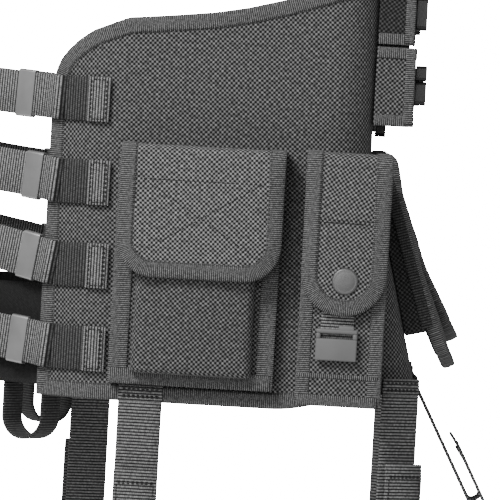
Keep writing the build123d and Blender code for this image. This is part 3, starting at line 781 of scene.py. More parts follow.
def curved(corners, radius, steps=6):
    """A path of (a, b) with its corners rounded."""
    path = [Vector(corners[0])]
    for before, here, after in zip(corners, corners[1:], corners[2:]):
        before, here, after = Vector(before), Vector(here), Vector(after)
        back, ahead = (before - here).normalized(), (after - here).normalized()
        half = math.acos(max(-1.0, min(1.0, back.dot(ahead)))) / 2
        if half > 1.5:
            path.append(here)
            continue
        reach = min(radius / math.tan(half), (before - here).length * 0.48, (after - here).length * 0.48)
        start, end = here + back * reach, here + ahead * reach
        for k in range(steps + 1):
            t = k / steps
            path.append(start * (1 - t) ** 2 + here * 2 * t * (1 - t) + end * t * t)
    path.append(Vector(corners[-1]))
    return [tuple(p) for p in path]


def refined(path, step):
    """The same path with points no further apart than a step."""
    fine = [path[0]]
    for before, after in zip(path, path[1:]):
        count = max(1, math.ceil(math.dist(before, after) / step))
        for k in range(1, count + 1):
            fine.append(tuple(a + (b - a) * k / count for a, b in zip(before, after)))
    return fine


def joined(name, pieces):
    """Several meshes as one piece."""
    bpy.ops.object.select_all(action="DESELECT")
    for piece in pieces:
        piece.select_set(True)
    bpy.context.view_layer.objects.active = pieces[0]
    bpy.ops.object.join()
    pieces[0].select_set(False)
    pieces[0].name = name
    return pieces[0]


# ---------------------------------------------------------------- pouch bodies and flaps
def soft_box(name, base, width, height, top_depth, bottom_depth, material, corner=5.0, bulge=2.0, pinch=1.0):
    """A sewn pouch: a closed shell with a crowned front and sides that pull in."""
    rises = [(0, 3.0), (0.9, 0.9), (3.0, 0)] + [(3 + (height - 6) * k / 40, 0) for k in range(1, 41)]
    rises += [(height - 0.9, 0.9), (height, 3.0)]
    rows, uvs = [], []
    for v, inset in rises:
        depth = bottom_depth + (top_depth - bottom_depth) * v / height - min(inset, 0.3 * top_depth)
        half = width / 2 - inset
        wall = [(half, 0.3 + (depth - corner - 0.3) * k / 10) for k in range(11)]
        arc = [(half - corner + corner * math.cos(t), depth - corner + corner * math.sin(t))
               for t in (math.pi / 2 * k / 5 for k in range(1, 5))]
        face = [((half - corner) * (1 - k / 15), depth) for k in range(16)]
        right = wall + arc + face
        ring = [(-u, w) for u, w in right] + [(u, w) for u, w in reversed(right[:-1])]
        ring += [(half * (1 - k / 4), 0.3) for k in range(1, 8)]
        share = math.sin(math.pi * min(1, max(0, v / height)))
        row, uv, run, last = [], [], 0.0, ring[0]
        for u, w in ring:
            run += math.dist(last, (u, w))
            last = (u, w)
            swell = bulge * share ** 0.6 * math.cos(math.pi * u / width / 1.02) * smoothstep(w / depth)
            pull = 1 - pinch * share * math.sin(math.pi * min(1, w / depth)) * 2 / width
            wave_w = ripple(u + v, v, 20, 0.7) * smoothstep(w / depth * 1.2)
            row.append(base @ Vector((u * pull, v, w + swell + wave_w)))
            uv.append((run, v))
        rows.append(row)
        uvs.append(uv)
    return outward(grid(name, rows, uvs, material, wrap=True))


def flap_surface(base, width, drop, top_out, low_out, round_over=6.0, droop=2.2, wave_height=0.8, sag=0.0):
    """Outer face of a flap: v is 0 at the seam and falls along the cloth."""
    profile = curved([(0, 1.2), (0, top_out), (-drop, low_out)], round_over, 8)
    profile = [(v, w - sag * math.sin(math.pi * min(1.0, -v / drop))) for v, w in refined(profile, 6.0)]
    profile = refined(profile, 2.0)
    runs = [0.0]
    for before, after in zip(profile, profile[1:]):
        runs.append(runs[-1] + math.dist(before, after))

    def surface(u, v):
        run = min(max(-v, 0.0), runs[-1])
        k = 1
        while k < len(runs) - 1 and runs[k] < run:
            k += 1
        t = (run - runs[k - 1]) / (runs[k] - runs[k - 1])
        height = profile[k - 1][0] + (profile[k][0] - profile[k - 1][0]) * t
        out = profile[k - 1][1] + (profile[k][1] - profile[k - 1][1]) * t
        hang = smoothstep((run - top_out) / (0.5 * drop))
        edge = abs(2 * u / width) ** 4 * droop * (0.5 + 0.5 * hang)
        puff = ripple(u * 1.3 + top_out, v, 26, wave_height) + 1.1 * math.cos(math.pi * u / width) * hang
        back = smoothstep(run / 8)
        return base @ Vector((u, height, out + (puff - edge) * back))

    return surface, runs[-1]


def flap_outline(width, length, radius):
    """Down the left edge, round the corners and up the right edge, from just inside the seam."""
    half, seam = width / 2, -3.0
    left = [(-half, seam), (-half, radius - length)]
    corner = [(-half + radius - radius * math.cos(t), radius - length - radius * math.sin(t))
              for t in (math.pi / 2 * k / 16 for k in range(1, 17))]
    path = left + corner
    path += [(-u, v) for u, v in reversed(path)]
    return refined(path, 3.0)


def make_flap(name, surface, width, length, radius, material, thickness):
    """A flap's cloth, its low corners rounded off to the radius."""
    half, down, across = width / 2, 60, 36
    rows, uvs = [], []
    for k in range(down, -1, -1):
        run = length * k / down
        depth = run - (length - radius)
        reach = half if depth <= 0 else half - radius + math.sqrt(max(0.0, radius * radius - depth * depth))
        places = [(reach * (2 * c / across - 1), -run) for c in range(across + 1)]
        rows.append([surface(u, v) for u, v in places])
        uvs.append(places)
    return solidify(grid(name, rows, uvs, material), thickness)


def flap_set(name, base, width, drop, radius, top_out, low_out, cloth, thick=3.0, proud=1.0, **more):
    """A flap with tape round its edge, on its hinge."""
    surface, length = flap_surface(base, width, drop, top_out, low_out, **more)
    flap = make_flap(f"right_{name}_cloth", surface, width, length, radius, cloth, thick)
    both_sides(flap, name, [name])
    outline = flap_outline(width, length, radius)
    edge = tape(f"right_{name}_tape", surface, outline, TAPE_WIDTH, thick, closed=False, proud=proud)
    both_sides(edge, name, slot="binding_tape")
    return surface, length


# ---------------------------------------------------------------- side tabs, straps and keepers
TILTS = (6, 10, 6, 3)
KEEPERS = (89.4, 84.8, 84.8, 93.4)
KEEPER_WIDTH = 14.5
TAB_FRONTS = (26, 27, 29, 32)
TAB_BACK = 65.5
STRAP_START = TAB_BACK - 1


def tab_height(row):
    return HEM + LOWEST_TAB + row * TAB_PITCH


def strap_stand(row, y, out=0.0):
    """A frame on one side strap: X back along it, Y across it, Z outwards."""
    z = tab_height(row)
    start = skin(q_at(STRAP_START), z, out)
    behind = skin(q_at(STRAP_START + 2), z, out)
    heading = (behind - start).normalized()
    out_dir = heading.cross(Vector((0, 0, 1))) * -1
    tilt = math.radians(TILTS[row])
    along = heading * math.cos(tilt) + Vector((0, 0, 1)) * math.sin(tilt)
    return stand(start + along * ((y - STRAP_START) / along.y), along, out_dir)


def tab(row):
    """A folded tab, its sewn front end and the box of thread that holds it."""

    def face(u, v):
        return skin(-u, tab_height(row) + v, 1.0)

    fore = TAB_FRONTS[row]
    line = refined([(-q_at(TAB_BACK), 0), (-q_at(fore + 1), 0)], 2.5)
    # The tab body takes the darker webbing: painted shade.
    body = ribbon(f"right_tab_{row}", face, line, WEBBING, 2.4, PAINTED_SHADE_TAB_WEBBING, lift=0.1)
    line = refined([(-q_at(fore + 15), 0), (-q_at(fore - 0.2), 0)], 2.5)
    end = ribbon(f"right_tab_end_{row}", face, line, WEBBING + 0.6, 1.6, STRAP_WEBBING, lift=2.1)
    rows = [((-q_at(y), -14.5), (-q_at(y), 14.5)) for y in (fore + 2.5, fore + 3.8, fore + 11.7, fore + 13)]
    rows += [((-q_at(fore + 3), v), (-q_at(fore + 12.5), v)) for v in (-14.4, 14.4)]
    return [body, end], stitches(f"right_tab_thread_{row}", face, rows, lift=3.8, size=0.55)


def side_strap(row):
    """The strap comes out of its tab over a fold, whose sewn face lies in painted shade."""
    base = strap_stand(row, STRAP_START, 1.0)
    turn = base.to_3x3()
    path = [(0.5, 0.9), (0.4, 2.6), (1.6, 4.4), (4.6, 5.2), (8.5, 4.4), (12, 2.9), (16, 2.0), (24, 1.6),
            (60, 1.7), (93, 1.6)]
    fine = refined(curved(path, 4, 4), 2.5)
    across = (turn @ Vector((0, -1, 0))).normalized()
    frames = []
    for i, (x, w) in enumerate(fine):
        before, after = neighbours(fine, i)
        along = turn @ Vector((after[0] - before[0], 0, after[1] - before[1])).normalized()
        spot = base @ Vector((x, ripple(x, row * 30, 30, 0.5), w))
        frames.append((spot, across, across.cross(along) * -1))
    section = strap_section(WEBBING, 2.6)
    piece = outward(sweep(f"right_strap_{row}", frames, section, STRAP_WEBBING))
    # Painted shade: the first stations, on the fold's front face, take the darker webbing.
    piece.data.materials.append(PAINTED_SHADE_WEBBING)
    shaded = 9 * len(section)
    for polygon in piece.data.polygons:
        polygon.material_index = int(max(polygon.vertices) < shaded)
    return piece


def side_rows():
    tabs, straps, threads = [], [], []
    for row in range(4):
        webbing, thread = tab(row)
        tabs += webbing
        threads.append(thread)
        straps.append(side_strap(row))
    both_sides(joined("right_side_tab_webbing", tabs), slot="webbing", shared=["side_tabs"])
    both_sides(joined("right_side_tab_thread", threads), slot="webbing")
    both_sides(joined("right_side_strap_webbing", straps), slot="webbing", shared=["side_straps"])


def shaped_block(name, size, material, round_over, segments):
    """A moulded or pressed block, made about the origin and rounded over."""
    bpy.ops.object.select_all(action="DESELECT")
    bpy.ops.mesh.primitive_cube_add(size=1)
    block = bpy.context.object
    block.name = name
    bpy.ops.object.mode_set(mode="EDIT")
    bpy.ops.mesh.select_all(action="SELECT")
    bpy.ops.transform.resize(value=tuple(size))
    bpy.ops.mesh.bevel(offset=round_over, segments=segments, affect="EDGES")
    bpy.ops.object.mode_set(mode="OBJECT")
    block.select_set(False)
    block.data.materials.append(material)
    return block


def put(obj, matrix):
    """Move a mesh made in millimetres about the origin to its stand."""
    obj.data.transform(Matrix.Scale(MM, 4) @ matrix)
    obj.matrix_world = Matrix.Identity(4)
    obj.data.update()
    return obj


def smooth(obj, angle):
    bpy.ops.object.select_all(action="DESELECT")
    obj.select_set(True)
    bpy.context.view_layer.objects.active = obj
    bpy.ops.object.shade_smooth_by_angle(angle=math.radians(angle))
    obj.select_set(False)
    return obj


def sleeve(name, width, height, depth, wall, material):
    """A flat sleeve bent from strip metal, open at both ends along X."""
    ring = []
    for grow, turn in ((0, 1), (-wall, -1)):
        a, b, r = height / 2 + grow, depth / 2 + grow, 2.0 + grow
        loop = []
        for sx, sy, start in ((1, 1, 0), (-1, 1, 90), (-1, -1, 180), (1, -1, 270)):
            for k in range(6):
                t = math.radians(start + 18 * k)
                loop.append((sx * (a - r) + r * math.cos(t), sy * (b - r) + r * math.sin(t)))
        ring.append(loop)
    outer, inner = ring
    half = width / 2
    layers = [(half - 0.5, outer), (half - 0.12, [(y * 0.998, z * 0.985) for y, z in outer]),
              (half, [((y + i) / 2, (z + j) / 2) for (y, z), (i, j) in zip(outer, inner)]),
              (half - 0.3, inner)]
    layers += [(-x, loop) for x, loop in reversed(layers)]
    points = [Vector((x, y, z)) for x, loop in layers for y, z in loop]
    count, faces = len(outer), []
    for r in range(len(layers)):
        s = (r + 1) % len(layers)
        for c in range(count):
            d = (c + 1) % count
            faces.append((r * count + c, r * count + d, s * count + d, s * count + c))
    mesh = bpy.data.meshes.new(name)
    mesh.from_pydata([tuple(p) for p in points], [], faces)
    mesh.materials.append(material)
    obj = bpy.data.objects.new(name, mesh)
    bpy.context.collection.objects.link(obj)
    return obj


def keepers():
    for row in range(4):
        keeper = sleeve(f"right_keeper_{row + 1}_metal", KEEPER_WIDTH, WEBBING + 3.0, 6.0, 1.1, SATIN_METAL)
        put(keeper, strap_stand(row, KEEPERS[row], 2.5))
        smooth(outward(keeper), 35)
        both_sides(keeper, f"strap_keeper_{row + 1}", [f"strap_keeper_{row + 1}"], "satin_metal")


# ---------------------------------------------------------------- pouches
UTILITY_Y = -37
UTILITY_WIDTH = 120
RADIO_Y = -144
RADIO_WIDTH = 61
RADIO_DEPTH = 32
RADIO_OUT = 1.2
CLIP_Y = -141.3


def utility_pouch():
    base = side_stand(UTILITY_Y, HEM + 12)
    raised = base @ Matrix.Translation((0, 9, 0))
    body = soft_box("right_utility_pouch_cloth", raised, 88, 159, 23, 23, POUCH_CLOTH, corner=7, bulge=3.6)
    both_sides(body, nodes=["utility_pouch"])
    flange_depth = 10
    flange = soft_box("right_utility_pouch_flange", base, UTILITY_WIDTH, 170, flange_depth, flange_depth,
                      POUCH_CLOTH, corner=3, bulge=0, pinch=0)
    both_sides(flange)

    def flange_face(u, v):
        return base @ Vector((u, v, flange_depth))

    pieces = []
    for u, width in ((-53.2, 13.6), (53.8, 12.4)):
        pieces.append(ribbon("tape", flange_face, refined([(u, 168), (u, 1)], 4), width, 1.8, EDGE_TAPE))
    low_edge = refined([(-59, 6.2), (59, 6.2)], 4)
    pieces.append(ribbon("tape", flange_face, low_edge, 11.8, 1.8, EDGE_TAPE, lift=0.1))
    both_sides(joined("right_utility_pouch_tape", pieces), slot="binding_tape")
    top = side_stand(UTILITY_Y - 1.3, HEM + 187)
    surface, length = flap_set("utility_flap", top, UTILITY_WIDTH - 2, 95, 26, 31, 31, FLAP_CLOTH,
                               round_over=7, droop=3.0)
    half, lower, upper = 43, 16 - length, 70 - length
    cross = [((-half, lower), (half, upper)), ((-half, upper), (half, lower)),
             ((-half, upper), (half, upper))]
    both_sides(stitches("right_utility_flap_thread", surface, cross, size=0.3, lift=0.1), "utility_flap")


def radio_pouch():
    base = side_stand(RADIO_Y, HEM + 5, RADIO_OUT)
    body = soft_box("right_radio_pouch_cloth", base, RADIO_WIDTH, 178, RADIO_DEPTH, RADIO_DEPTH, POUCH_CLOTH,
                    corner=3.5, bulge=1.2)
    both_sides(body, nodes=["radio_pouch"])

    def face(u, v):
        return base @ Vector((u, v, RADIO_DEPTH + ripple(u + 9, v, 30, 0.4)))

    def wall(u, v):
        return base @ Vector((30.3, v, -u))

    pieces = []
    for u in (-25.8, 26.2):
        pieces.append(ribbon("tape", face, refined([(u, 172), (u, 3)], 4), 9.6, 1.3, EDGE_TAPE))
    pieces.append(ribbon("tape", face, refined([(-29, 22), (29, 22)], 4), 3.2, 1.5, EDGE_TAPE))
    pieces.append(ribbon("tape", face, refined([(-29, 4.2), (29, 4.2)], 4), 8, 1.6, EDGE_TAPE, lift=0.1))
    for u in (-4, -27.5):
        pieces.append(ribbon("tape", wall, refined([(u, 172), (u, 3)], 4), 7.5, 1.1, EDGE_TAPE))
    both_sides(joined("right_radio_pouch_tape", pieces), slot="binding_tape")
    top = side_stand(RADIO_Y, HEM + 188.5, RADIO_OUT)
    surface, length = flap_set("radio_flap", top, RADIO_WIDTH - 0.4, 116.5, 29.5, 39, 39.5, FLAP2_CLOTH,
                               round_over=9, droop=1.2, wave_height=0.6)
    rows = [((-27, v - length), (27, v - length)) for v in (66, 68)]
    both_sides(stitches("right_radio_flap_thread", surface, rows, size=0.35, lift=0.2), "radio_flap")
    strip_base = side_stand(CLIP_Y, HEM + 20, RADIO_OUT + 33)

    def strip_face(u, v):
        return strip_base @ Vector((u, v, 0))

    strip = ribbon("right_clip_strip", strip_face, refined([(0, 60), (0, 22)], 3), 24, 1.8, STRAP_WEBBING)
    both_sides(strip, slot="webbing", shared=["clip_webbings"])


def snap_cap():
    """Turned cap of the press fastener, with a sunk middle and a rolled rim."""
    profile = [(0, 2.8), (3.6, 2.8), (6.6, 2.7), (8.0, 2.5), (8.6, 2.6), (9.2, 2.2), (9.6, 1.4),
               (9.7, 0.4), (9.5, 0)]
    base = side_stand(RADIO_Y - 1, HEM + 96.3, 41.2)
    turns, points, faces = 48, [Vector((0, 0, profile[0][1]))], []
    for r, w in profile[1:]:
        for k in range(turns):
            t = 2 * math.pi * k / turns
            points.append(Vector((r * math.cos(t), r * math.sin(t), w)))
    for k in range(turns):
        faces.append((0, 1 + k, 1 + (k + 1) % turns))
        for ring in range(len(profile) - 2):
            a, b = 1 + ring * turns, 1 + (ring + 1) * turns
            faces.append((a + k, b + k, b + (k + 1) % turns, a + (k + 1) % turns))
    faces.append(tuple(reversed([1 + (len(profile) - 2) * turns + k for k in range(turns)])))
    mesh = bpy.data.meshes.new("right_snap_cap_metal")
    mesh.from_pydata([tuple(p) for p in points], [], faces)
    mesh.materials.append(CAP_METAL)
    cap = bpy.data.objects.new("right_snap_cap_metal", mesh)
    bpy.context.collection.objects.link(cap)
    smooth(put(cap, base), 50)
    both_sides(cap, "radio_flap", ["snap_cap"], "satin_metal")


def clip_tab():
    """Moulded clip with a slot near its top and a thumb rest above it."""
    base = side_stand(CLIP_Y, HEM + 50, 36.6)
    plate, top_bar = (-15, -11.5, 15, 4.6, 4.2), (-15, 8.2, 15, 11.5, 4.2)
    left_bar, right_bar = (-15, 4.2, -11.5, 8.6, 4.2), (11.5, 4.2, 15, 8.6, 4.2)
    rest = (1, 9.8, 12.5, 14.2, 4.0)
    parts = []
    for x0, y0, x1, y1, depth in (plate, top_bar, left_bar, right_bar, rest):
        block = shaped_block("clip", (x1 - x0, y1 - y0, depth), CLIP_PLASTIC, 1.3, 4)
        put(block, base @ Matrix.Translation(((x0 + x1) / 2, (y0 + y1) / 2, depth / 2)))
        parts.append(block)
    clip = smooth(joined("right_clip_plastic", parts), 40)
    both_sides(clip, slot="grey_plastic", shared=["clip_tabs"])


def magazine_pouches():
    width, height = 55.4, 126
    for place, x, drop, low_out, shrink, sag in (("inner", -55, 143, 37, 0, 6.0),
                                                 ("outer", -115, 160, 30, 3, 4.5)):
        base = flare_stand(x, 134)
        # The pouch body takes the darker cloth: painted shade.
        body = soft_box(f"right_{place}_magazine_cloth", base, width, height, 14 - shrink, 23 - shrink,
                        PAINTED_SHADE_CLOTH, corner=8, bulge=0.8)
        both_sides(body, nodes=["magazine_pouch"] if place == "outer" else [])

        def wall(u, v, base=base):
            return base @ Vector((-27.6, v, u - v * 9 / height))

        line = refined([(17.5, 122), (17.5, 3)], 4)
        # The side tape takes the darker webbing: painted shade.
        side = ribbon(f"right_{place}_magazine_tape", wall, line, 8, 1.0, PAINTED_SHADE_WEBBING)
        both_sides(side, slot="binding_tape")
        flap_set(f"{place}_magazine_flap", flare_stand(x, 2), 55, drop, 24, 17.5, low_out, FLAP2_CLOTH,
                 round_over=8, droop=1.0, thick=7.0, proud=1.2, sag=sag)


def chest_pouches():
    # The upper pouch takes the darker cloth: painted shade.
    for name, height, length, depth, cloth in (("lower", 209.5, 58, LOWER_CHEST_DEPTH, POUCH_CLOTH),
                                               ("upper", 269, 47, UPPER_CHEST_DEPTH, PAINTED_SHADE_CLOTH)):
        base = front_stand(-122, HEM + height)
        body = soft_box(f"right_{name}_chest_cloth", base, 53, length, depth - 1, depth - 1, cloth, corner=4,
                        bulge=0.6, pinch=0.5)
        both_sides(body, nodes=[f"{name}_chest_pouch"])

        def wall(u, v, base=base):
            return base @ Vector((-26.6, v, u))

        def face(u, v, base=base, depth=depth):
            return base @ Vector((u, v, depth - 1.4))

        pieces = []
        for v in (4.2, length - 4.2):
            pieces.append(ribbon("tape", wall, refined([(1, v), (depth - 1.5, v)], 4), 8, 1.0, EDGE_TAPE))
            pieces.append(ribbon("tape", face, refined([(-26.5, v), (26.5, v)], 4), 8, 1.0, EDGE_TAPE))
        corner = refined([(depth - 4.8, length - 1), (depth - 4.8, 1)], 4)
        pieces.append(ribbon("tape", wall, corner, 7, 1.3, EDGE_TAPE))
        both_sides(joined(f"right_{name}_chest_tape", pieces), slot="binding_tape")


# ---------------------------------------------------------------- belt loops
LOOP_PATH = [(-0.6, 1.1), (-46, 1.1), (-103.5, 1.1), (-103.5, 10.9), (-60, 10.9), (-50, 9.8)]
LOOP_HALF_SEAM = 13.5
FRONT_LOOP_X = -92
FRONT_LOOP_LEAN = math.radians(28)
CORNER_LOOP_TURN = math.radians(34)
RIGHT_LOOP_Y = -1.4
LEFT_LOOP_Y = 45


def belt_loop(name, base, anchor):
    """A belt loop in its hanging stand, and its sewn end on the panel; thread lies on both."""
    path = refined(curved(LOOP_PATH, 5.5), 2.5)
    loop = strap(name, base, path, WEBBING, LOOP_THICKNESS, LOOP_WEBBING)
    end = strap(name + "_end", anchor, refined([(11.4, 1.2), (-0.5, 1.2)], 2.0), WEBBING, 2.0, LOOP_WEBBING)

    def end_face(u, v):
        return anchor @ Vector((u, v, 2.2))

    def tail_face(u, v):
        return base @ Vector((u, v, 12.0))

    def across(*heights):
        return [((-LOOP_HALF_SEAM, v), (LOOP_HALF_SEAM, v)) for v in heights]

    thread = stitches(name + "_end_thread", end_face, across(2.4, 3.8, 8.4, 9.8), lift=0.3, size=0.45)
    edges = [((-13.4, -60), (-13.4, -96)), ((13.4, -60), (13.4, -96))]
    tail = stitches(name + "_tail_thread", tail_face, across(-58.5, -60) + edges, lift=0.2, size=0.4)
    return loop, end, thread, tail


def to_the_left(obj):
    """Mirror a piece that only the left side has."""
    obj.data.transform(Matrix.Scale(-1, 4, (1, 0, 0)))
    obj.data.flip_normals()
    obj.name = "left_" + obj.name


def belt_loops():
    hem_length = (FLARE_TOP - HEM - FRONT_HEM_RISE) / math.cos(FLARE)
    front = flare_stand(FRONT_LOOP_X, hem_length, 1.0)
    hanging = stand(front.translation, (1, 0, 0), (0, -math.cos(FRONT_LOOP_LEAN), math.sin(FRONT_LOOP_LEAN)))
    corner_out = Vector((-math.cos(CORNER_LOOP_TURN), -math.sin(CORNER_LOOP_TURN), 0))
    corner_z = HEM + FRONT_HEM_RISE
    corner_axis = Vector((CORNER - HALF_WIDTH, front_face(corner_z) + CORNER, corner_z))
    corner_at = corner_axis + corner_out * (CORNER + 1.2)
    corner = stand(corner_at, (math.sin(CORNER_LOOP_TURN), -math.cos(CORNER_LOOP_TURN), 0), corner_out)
    for name, base, anchor in (("front", hanging, front), ("corner", corner, corner)):
        loop, end, thread, tail = belt_loop(f"right_{name}_belt_loop_webbing", base, anchor)
        both_sides(loop, f"{name}_belt_loop", [f"{name}_belt_loop"], "webbing")
        both_sides(end, slot="webbing")
        both_sides(thread, slot="webbing")
        both_sides(tail, f"{name}_belt_loop", slot="webbing")
    base = side_stand(RIGHT_LOOP_Y, HEM, 1.0)
    right = belt_loop("right_side_belt_loop_webbing", base, base)
    base = skin_stand(LEFT_LOOP_Y, HEM, 1.2)
    left = belt_loop("rear_belt_loop_webbing", base, base)
    for piece in left:
        to_the_left(piece)
    for (loop, end, thread, tail), body, end_nodes in ((right, "right_side_belt_loop", ["belt_loop_ends"]),
                                                       (left, "left_side_belt_loop", [])):
        settle(loop, body, [body], "webbing")
        settle(end, "vest", end_nodes, "webbing")
        settle(thread, slot="webbing")
        settle(tail, body, slot="webbing")


# ---------------------------------------------------------------- back panel and shoulders
BACK_Y = 159
BACK_REACH = 118.3
WING_LIMIT = [(HEM, BACK_REACH), (HEM + 226, BACK_REACH), (HEM + 238, 113), (HEM + 250, 105),
              (HEM + 270, 98.5), (HEM + 298, 97), (HEM + 330, 103), (HEM + 355, 113), (SHOULDER, 125.9)]


def back_path(run, flat, radius, turn):
    """Place on the plan of the back, that far from its middle."""
    if run <= flat:
        return Vector((-run, BACK_Y)), Vector((0, 1))
    angle = min(turn, (run - flat) / radius)
    rest = run - flat - angle * radius
    centre = Vector((-flat, BACK_Y - radius))
    away = Vector((-math.sin(angle), math.cos(angle)))
    return centre + away * radius + Vector((-math.cos(angle), -math.sin(angle))) * rest, away


def back_skin(run, z, out=0.0):
    """Right half of the back, and the left half where the run is below 0."""
    side = 1 if run >= 0 else -1
    low_at, low_out = back_path(abs(run), 58.9, 55, math.radians(58))
    top_at, top_out = back_path(abs(run), 103, 22, math.pi / 2)
    share = min(1.0, max(0.0, (z - HEM - 246) / 84))
    at, away = low_at.lerp(top_at, share), low_out.lerp(top_out, share).normalized()
    at = at + away * out
    return Vector((side * at.x, at.y, z))


def puffed_back(run, z):
    return back_skin(run, z, ripple(run, z, 60, 1.0) + ripple(run + 70, z, 22, 0.3))


def back_place(share, rise):
    """Run and height of a place on the back panel, by its share of the width and of the height."""
    limit = BACK_REACH
    for _ in range(3):
        run = share * limit
        top = SHOULDER - 22 * (1 - smoothstep(abs(run) / 62))
        z = HEM + (top - HEM) * rise
        limit = through(WING_LIMIT, z)
    return share * limit, z


def back_panel():
    across, height = 96, 90
    rows, uvs = [], []
    for r in range(height + 1):
        places = [back_place(2 * c / across - 1, r / height) for c in range(across + 1)]
        rows.append([puffed_back(run, z) for run, z in places])
        uvs.append(places)
    panel = solidify(grid("back_panel_cloth", rows, uvs, PANEL_CLOTH), PANEL_THICKNESS)
    settle(panel, nodes=["back_panel"], slot="padded_fabric")
    edge = [back_place(2 * c / across - 1, 0) for c in range(across + 1)]
    edge += [back_place(1, r / height) for r in range(1, height)]
    edge += [back_place(2 * c / across - 1, 1) for c in range(across, -1, -1)]
    edge += [back_place(-1, r / height) for r in range(height - 1, 0, -1)]
    settle(tape("back_panel_tape", puffed_back, edge, TAPE_WIDTH, PANEL_THICKNESS), nodes=["back_binding"],
           slot="binding_tape")
    left, right, foot, top = -70, 70, HEM + 40, SHOULDER - 60
    seams = [((left, foot), (left, top)), ((right, foot), (right, top)), ((left, foot), (right, foot)),
             ((left, top), (right, top))]
    settle(stitches("back_panel_thread", puffed_back, seams), slot="webbing")


ARCH_REACH = 160.0
ARCH_FOOT = -92
ARCH_RADIUS = 100
PAD_FOOT = ARCH_FOOT - 1
PAD_SINK = -4


def arch_path(grow, foot):
    """Path over a shoulder from the chest to the back, that far outside the pad's line."""
    radius = ARCH_RADIUS + grow
    rise = [math.pi / 2 * k / 12 for k in range(1, 12)]
    path = [(-ARCH_REACH - grow, foot), (-ARCH_REACH - grow, ARCH_FOOT)]
    centre, top = ARCH_REACH - ARCH_RADIUS, ARCH_FOOT + radius
    path += [(-centre - radius * math.cos(t), ARCH_FOOT + radius * math.sin(t)) for t in rise]
    path += [(-centre, top), (centre, top)]
    path += [(centre + radius * math.cos(t), ARCH_FOOT + radius * math.sin(t)) for t in reversed(rise)]
    path += [(ARCH_REACH + grow, ARCH_FOOT), (ARCH_REACH + grow, foot)]
    return refined(path, 4)


def arch_frames(x, path):
    across = Vector((-1, 0, 0))
    frames = []
    for i, (y, z) in enumerate(path):
        before, after = neighbours(path, i)
        along = Vector((0, after[0] - before[0], after[1] - before[1])).normalized()
        frames.append((Vector((x, y, z)), across, across.cross(along) * -1))
    return frames


def shoulder_section():
    """Crowned section of a shoulder pad, thin at its edges."""
    half, deep = 29, 3.6
    upper = [(x, deep * grow) for x, grow in
             ((-half, 0.25), (-half + 1.5, 0.7), (-half + 6, 0.86), (-12, 1.05), (0, 1.1), (12, 1.05),
              (half - 6, 0.86), (half - 1.5, 0.7), (half, 0.25))]
    return upper + [(x, -y) for x, y in reversed(upper)]


def shoulders():
    middle = -(PAD_OUTER + PAD_INNER) / 2
    line = arch_path(PAD_SINK, PAD_FOOT)
    pad = sweep("right_shoulder_pad_cloth", arch_frames(middle, line), shoulder_section(), PANEL_CLOTH)
    both_sides(outward(pad), nodes=["shoulder_pad"], slot="padded_fabric")
    upper_line = arch_path(-0.4, PAD_FOOT)
    edges = []
    for x in (-PAD_OUTER + 0.6, -PAD_INNER - 0.6):
        folded, flat = arch_frames(x, line), arch_frames(x + (5 if x < middle else -5), upper_line)
        edges.append(outward(sweep("tape", folded, strap_section(2.2, 7.6), EDGE_TAPE)))
        edges.append(outward(sweep("tape", flat, strap_section(10, 0.9), EDGE_TAPE)))
    both_sides(joined("right_shoulder_pad_tape", edges), slot="binding_tape")
    frames = arch_frames(middle, arch_path(1.3, -127))
    webbing = sweep("right_shoulder_webbing", frames, strap_section(WEBBING, 2.0), STRAP_WEBBING)
    both_sides(outward(webbing), slot="webbing", shared=["shoulder_straps"])


# ---------------------------------------------------------------- closures, waist elastic and hangers
CLOSURE_X = -44
CLOSURE_HEIGHTS = (217, 250)
CLOSURE_WIDTH = 25
WAIST_SINK = -3.2
HANGER_TURNS = 48


def closures():
    pieces = []
    for height in CLOSURE_HEIGHTS:
        base = front_stand(CLOSURE_X, HEM + height, 1.0)

        def face(u, v, base=base):
            return base @ Vector((u, v, 0))

        path = refined([(-38, 0), (39, 0)], 3)
        pieces.append(ribbon("closure", face, path, CLOSURE_WIDTH, 2.0, STRAP_WEBBING))
        rows = [((x, -11), (x, 11)) for x in (-36, -34.6, -22, -20.6)]
        pieces.append(stitches("closure", face, rows, lift=2.1))
    both_sides(joined("right_closure_webbing", pieces), slot="webbing", shared=["closure_straps"])


def waist_elastic(base):
    place = base @ Matrix.Translation((-38, 0, WAIST_SINK))
    slab = soft_box("right_waist_elastic", place, 74, 74, 3, 3, ELASTIC, corner=1.2, bulge=0, pinch=0)
    both_sides(slab, slot="elastic", shared=["waist_gussets"])


def hanger_point(k):
    """A loop with straight sides and round ends."""
    t = 2 * math.pi * k / HANGER_TURNS
    end = 0 if abs(math.sin(t)) <= 0.01 else math.copysign(18, math.sin(t))
    return 17 * math.cos(t), end + 16.5 * math.sin(t)


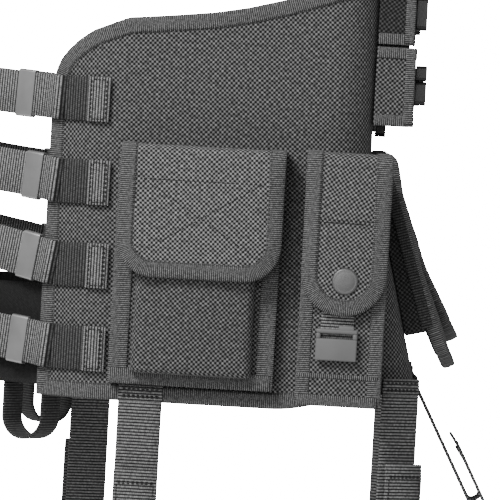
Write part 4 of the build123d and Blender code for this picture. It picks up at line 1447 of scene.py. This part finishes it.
def hanger_loop(base):
    place = base @ Matrix.Translation((-30, -6, WAIST_SINK - 12.6))
    turn = place.to_3x3()
    side = (turn @ Vector((0, 0, 1))).normalized()
    ring = [hanger_point(k) for k in range(HANGER_TURNS)]
    frames = []
    for i, (u, v) in enumerate(ring):
        before, after = neighbours(ring, i, True)
        along = (turn @ Vector((after[0] - before[0], after[1] - before[1], 0))).normalized()
        frames.append((place @ Vector((u, v, 0)), side, side.cross(along) * -1))
    section = strap_section(24, LOOP_THICKNESS)
    # The loop hangs inside, and its darker webbing is painted shade.
    loop = outward(sweep("right_hanger_webbing", frames, section, PAINTED_SHADE_WEBBING, True))
    both_sides(loop, slot="webbing", shared=["hanger_loops"])


def drag_handle():
    base = stand((0, BACK_Y + 0.2, -152), (0, 0, 1), (0, 1, 0))
    path = refined(curved([(-51, 1.1), (-39, 1.1), (-27, 18), (27, 18), (39, 1.1), (51, 1.1)], 7), 3)
    handle = strap("drag_handle_webbing", base, path, WEBBING, LOOP_THICKNESS, STRAP_WEBBING)
    settle(handle, nodes=["drag_handle"], slot="webbing")


def plain_nodes():
    """Moulded buckles and pressed studs keep their own shape and take their finish here."""
    buckles = ["buckle_sockets"]
    buckles += [f"{side}_{place}_chest_plug" for place in ("lower", "upper") for side in SIDES]
    buckles += ["lower_closure_plug", "upper_closure_plug"]
    finishes = {"snap_studs": CAP_METAL} | {name: BUCKLE_PLASTIC for name in buckles}
    for name, material in finishes.items():
        slots = frame["nodes"][name].data.materials
        slots.clear()
        slots.append(material)


# ---------------------------------------------------------------- the studio and the vest
place_camera()
set_world()
place_light("key", (-1.7, 1.0, 1.2), 0.8, 44)
place_light("fill", (-2.3, 0.3, 0.1), 1.0, 10)
place_light("front", (-0.4, -2.2, 0.7), 1.2, 4)
place_light("back", (1.2, 1.8, 0.8), 1.2, 14)
right_front_panel()
side_rows()
keepers()
utility_pouch()
radio_pouch()
snap_cap()
clip_tab()
magazine_pouches()
chest_pouches()
belt_loops()
back_panel()
shoulders()
closures()
waist_stand = skin_stand(66, HEM + 6, -6.2)
waist_elastic(waist_stand)
hanger_loop(waist_stand)
drag_handle()
plain_nodes()
floor()
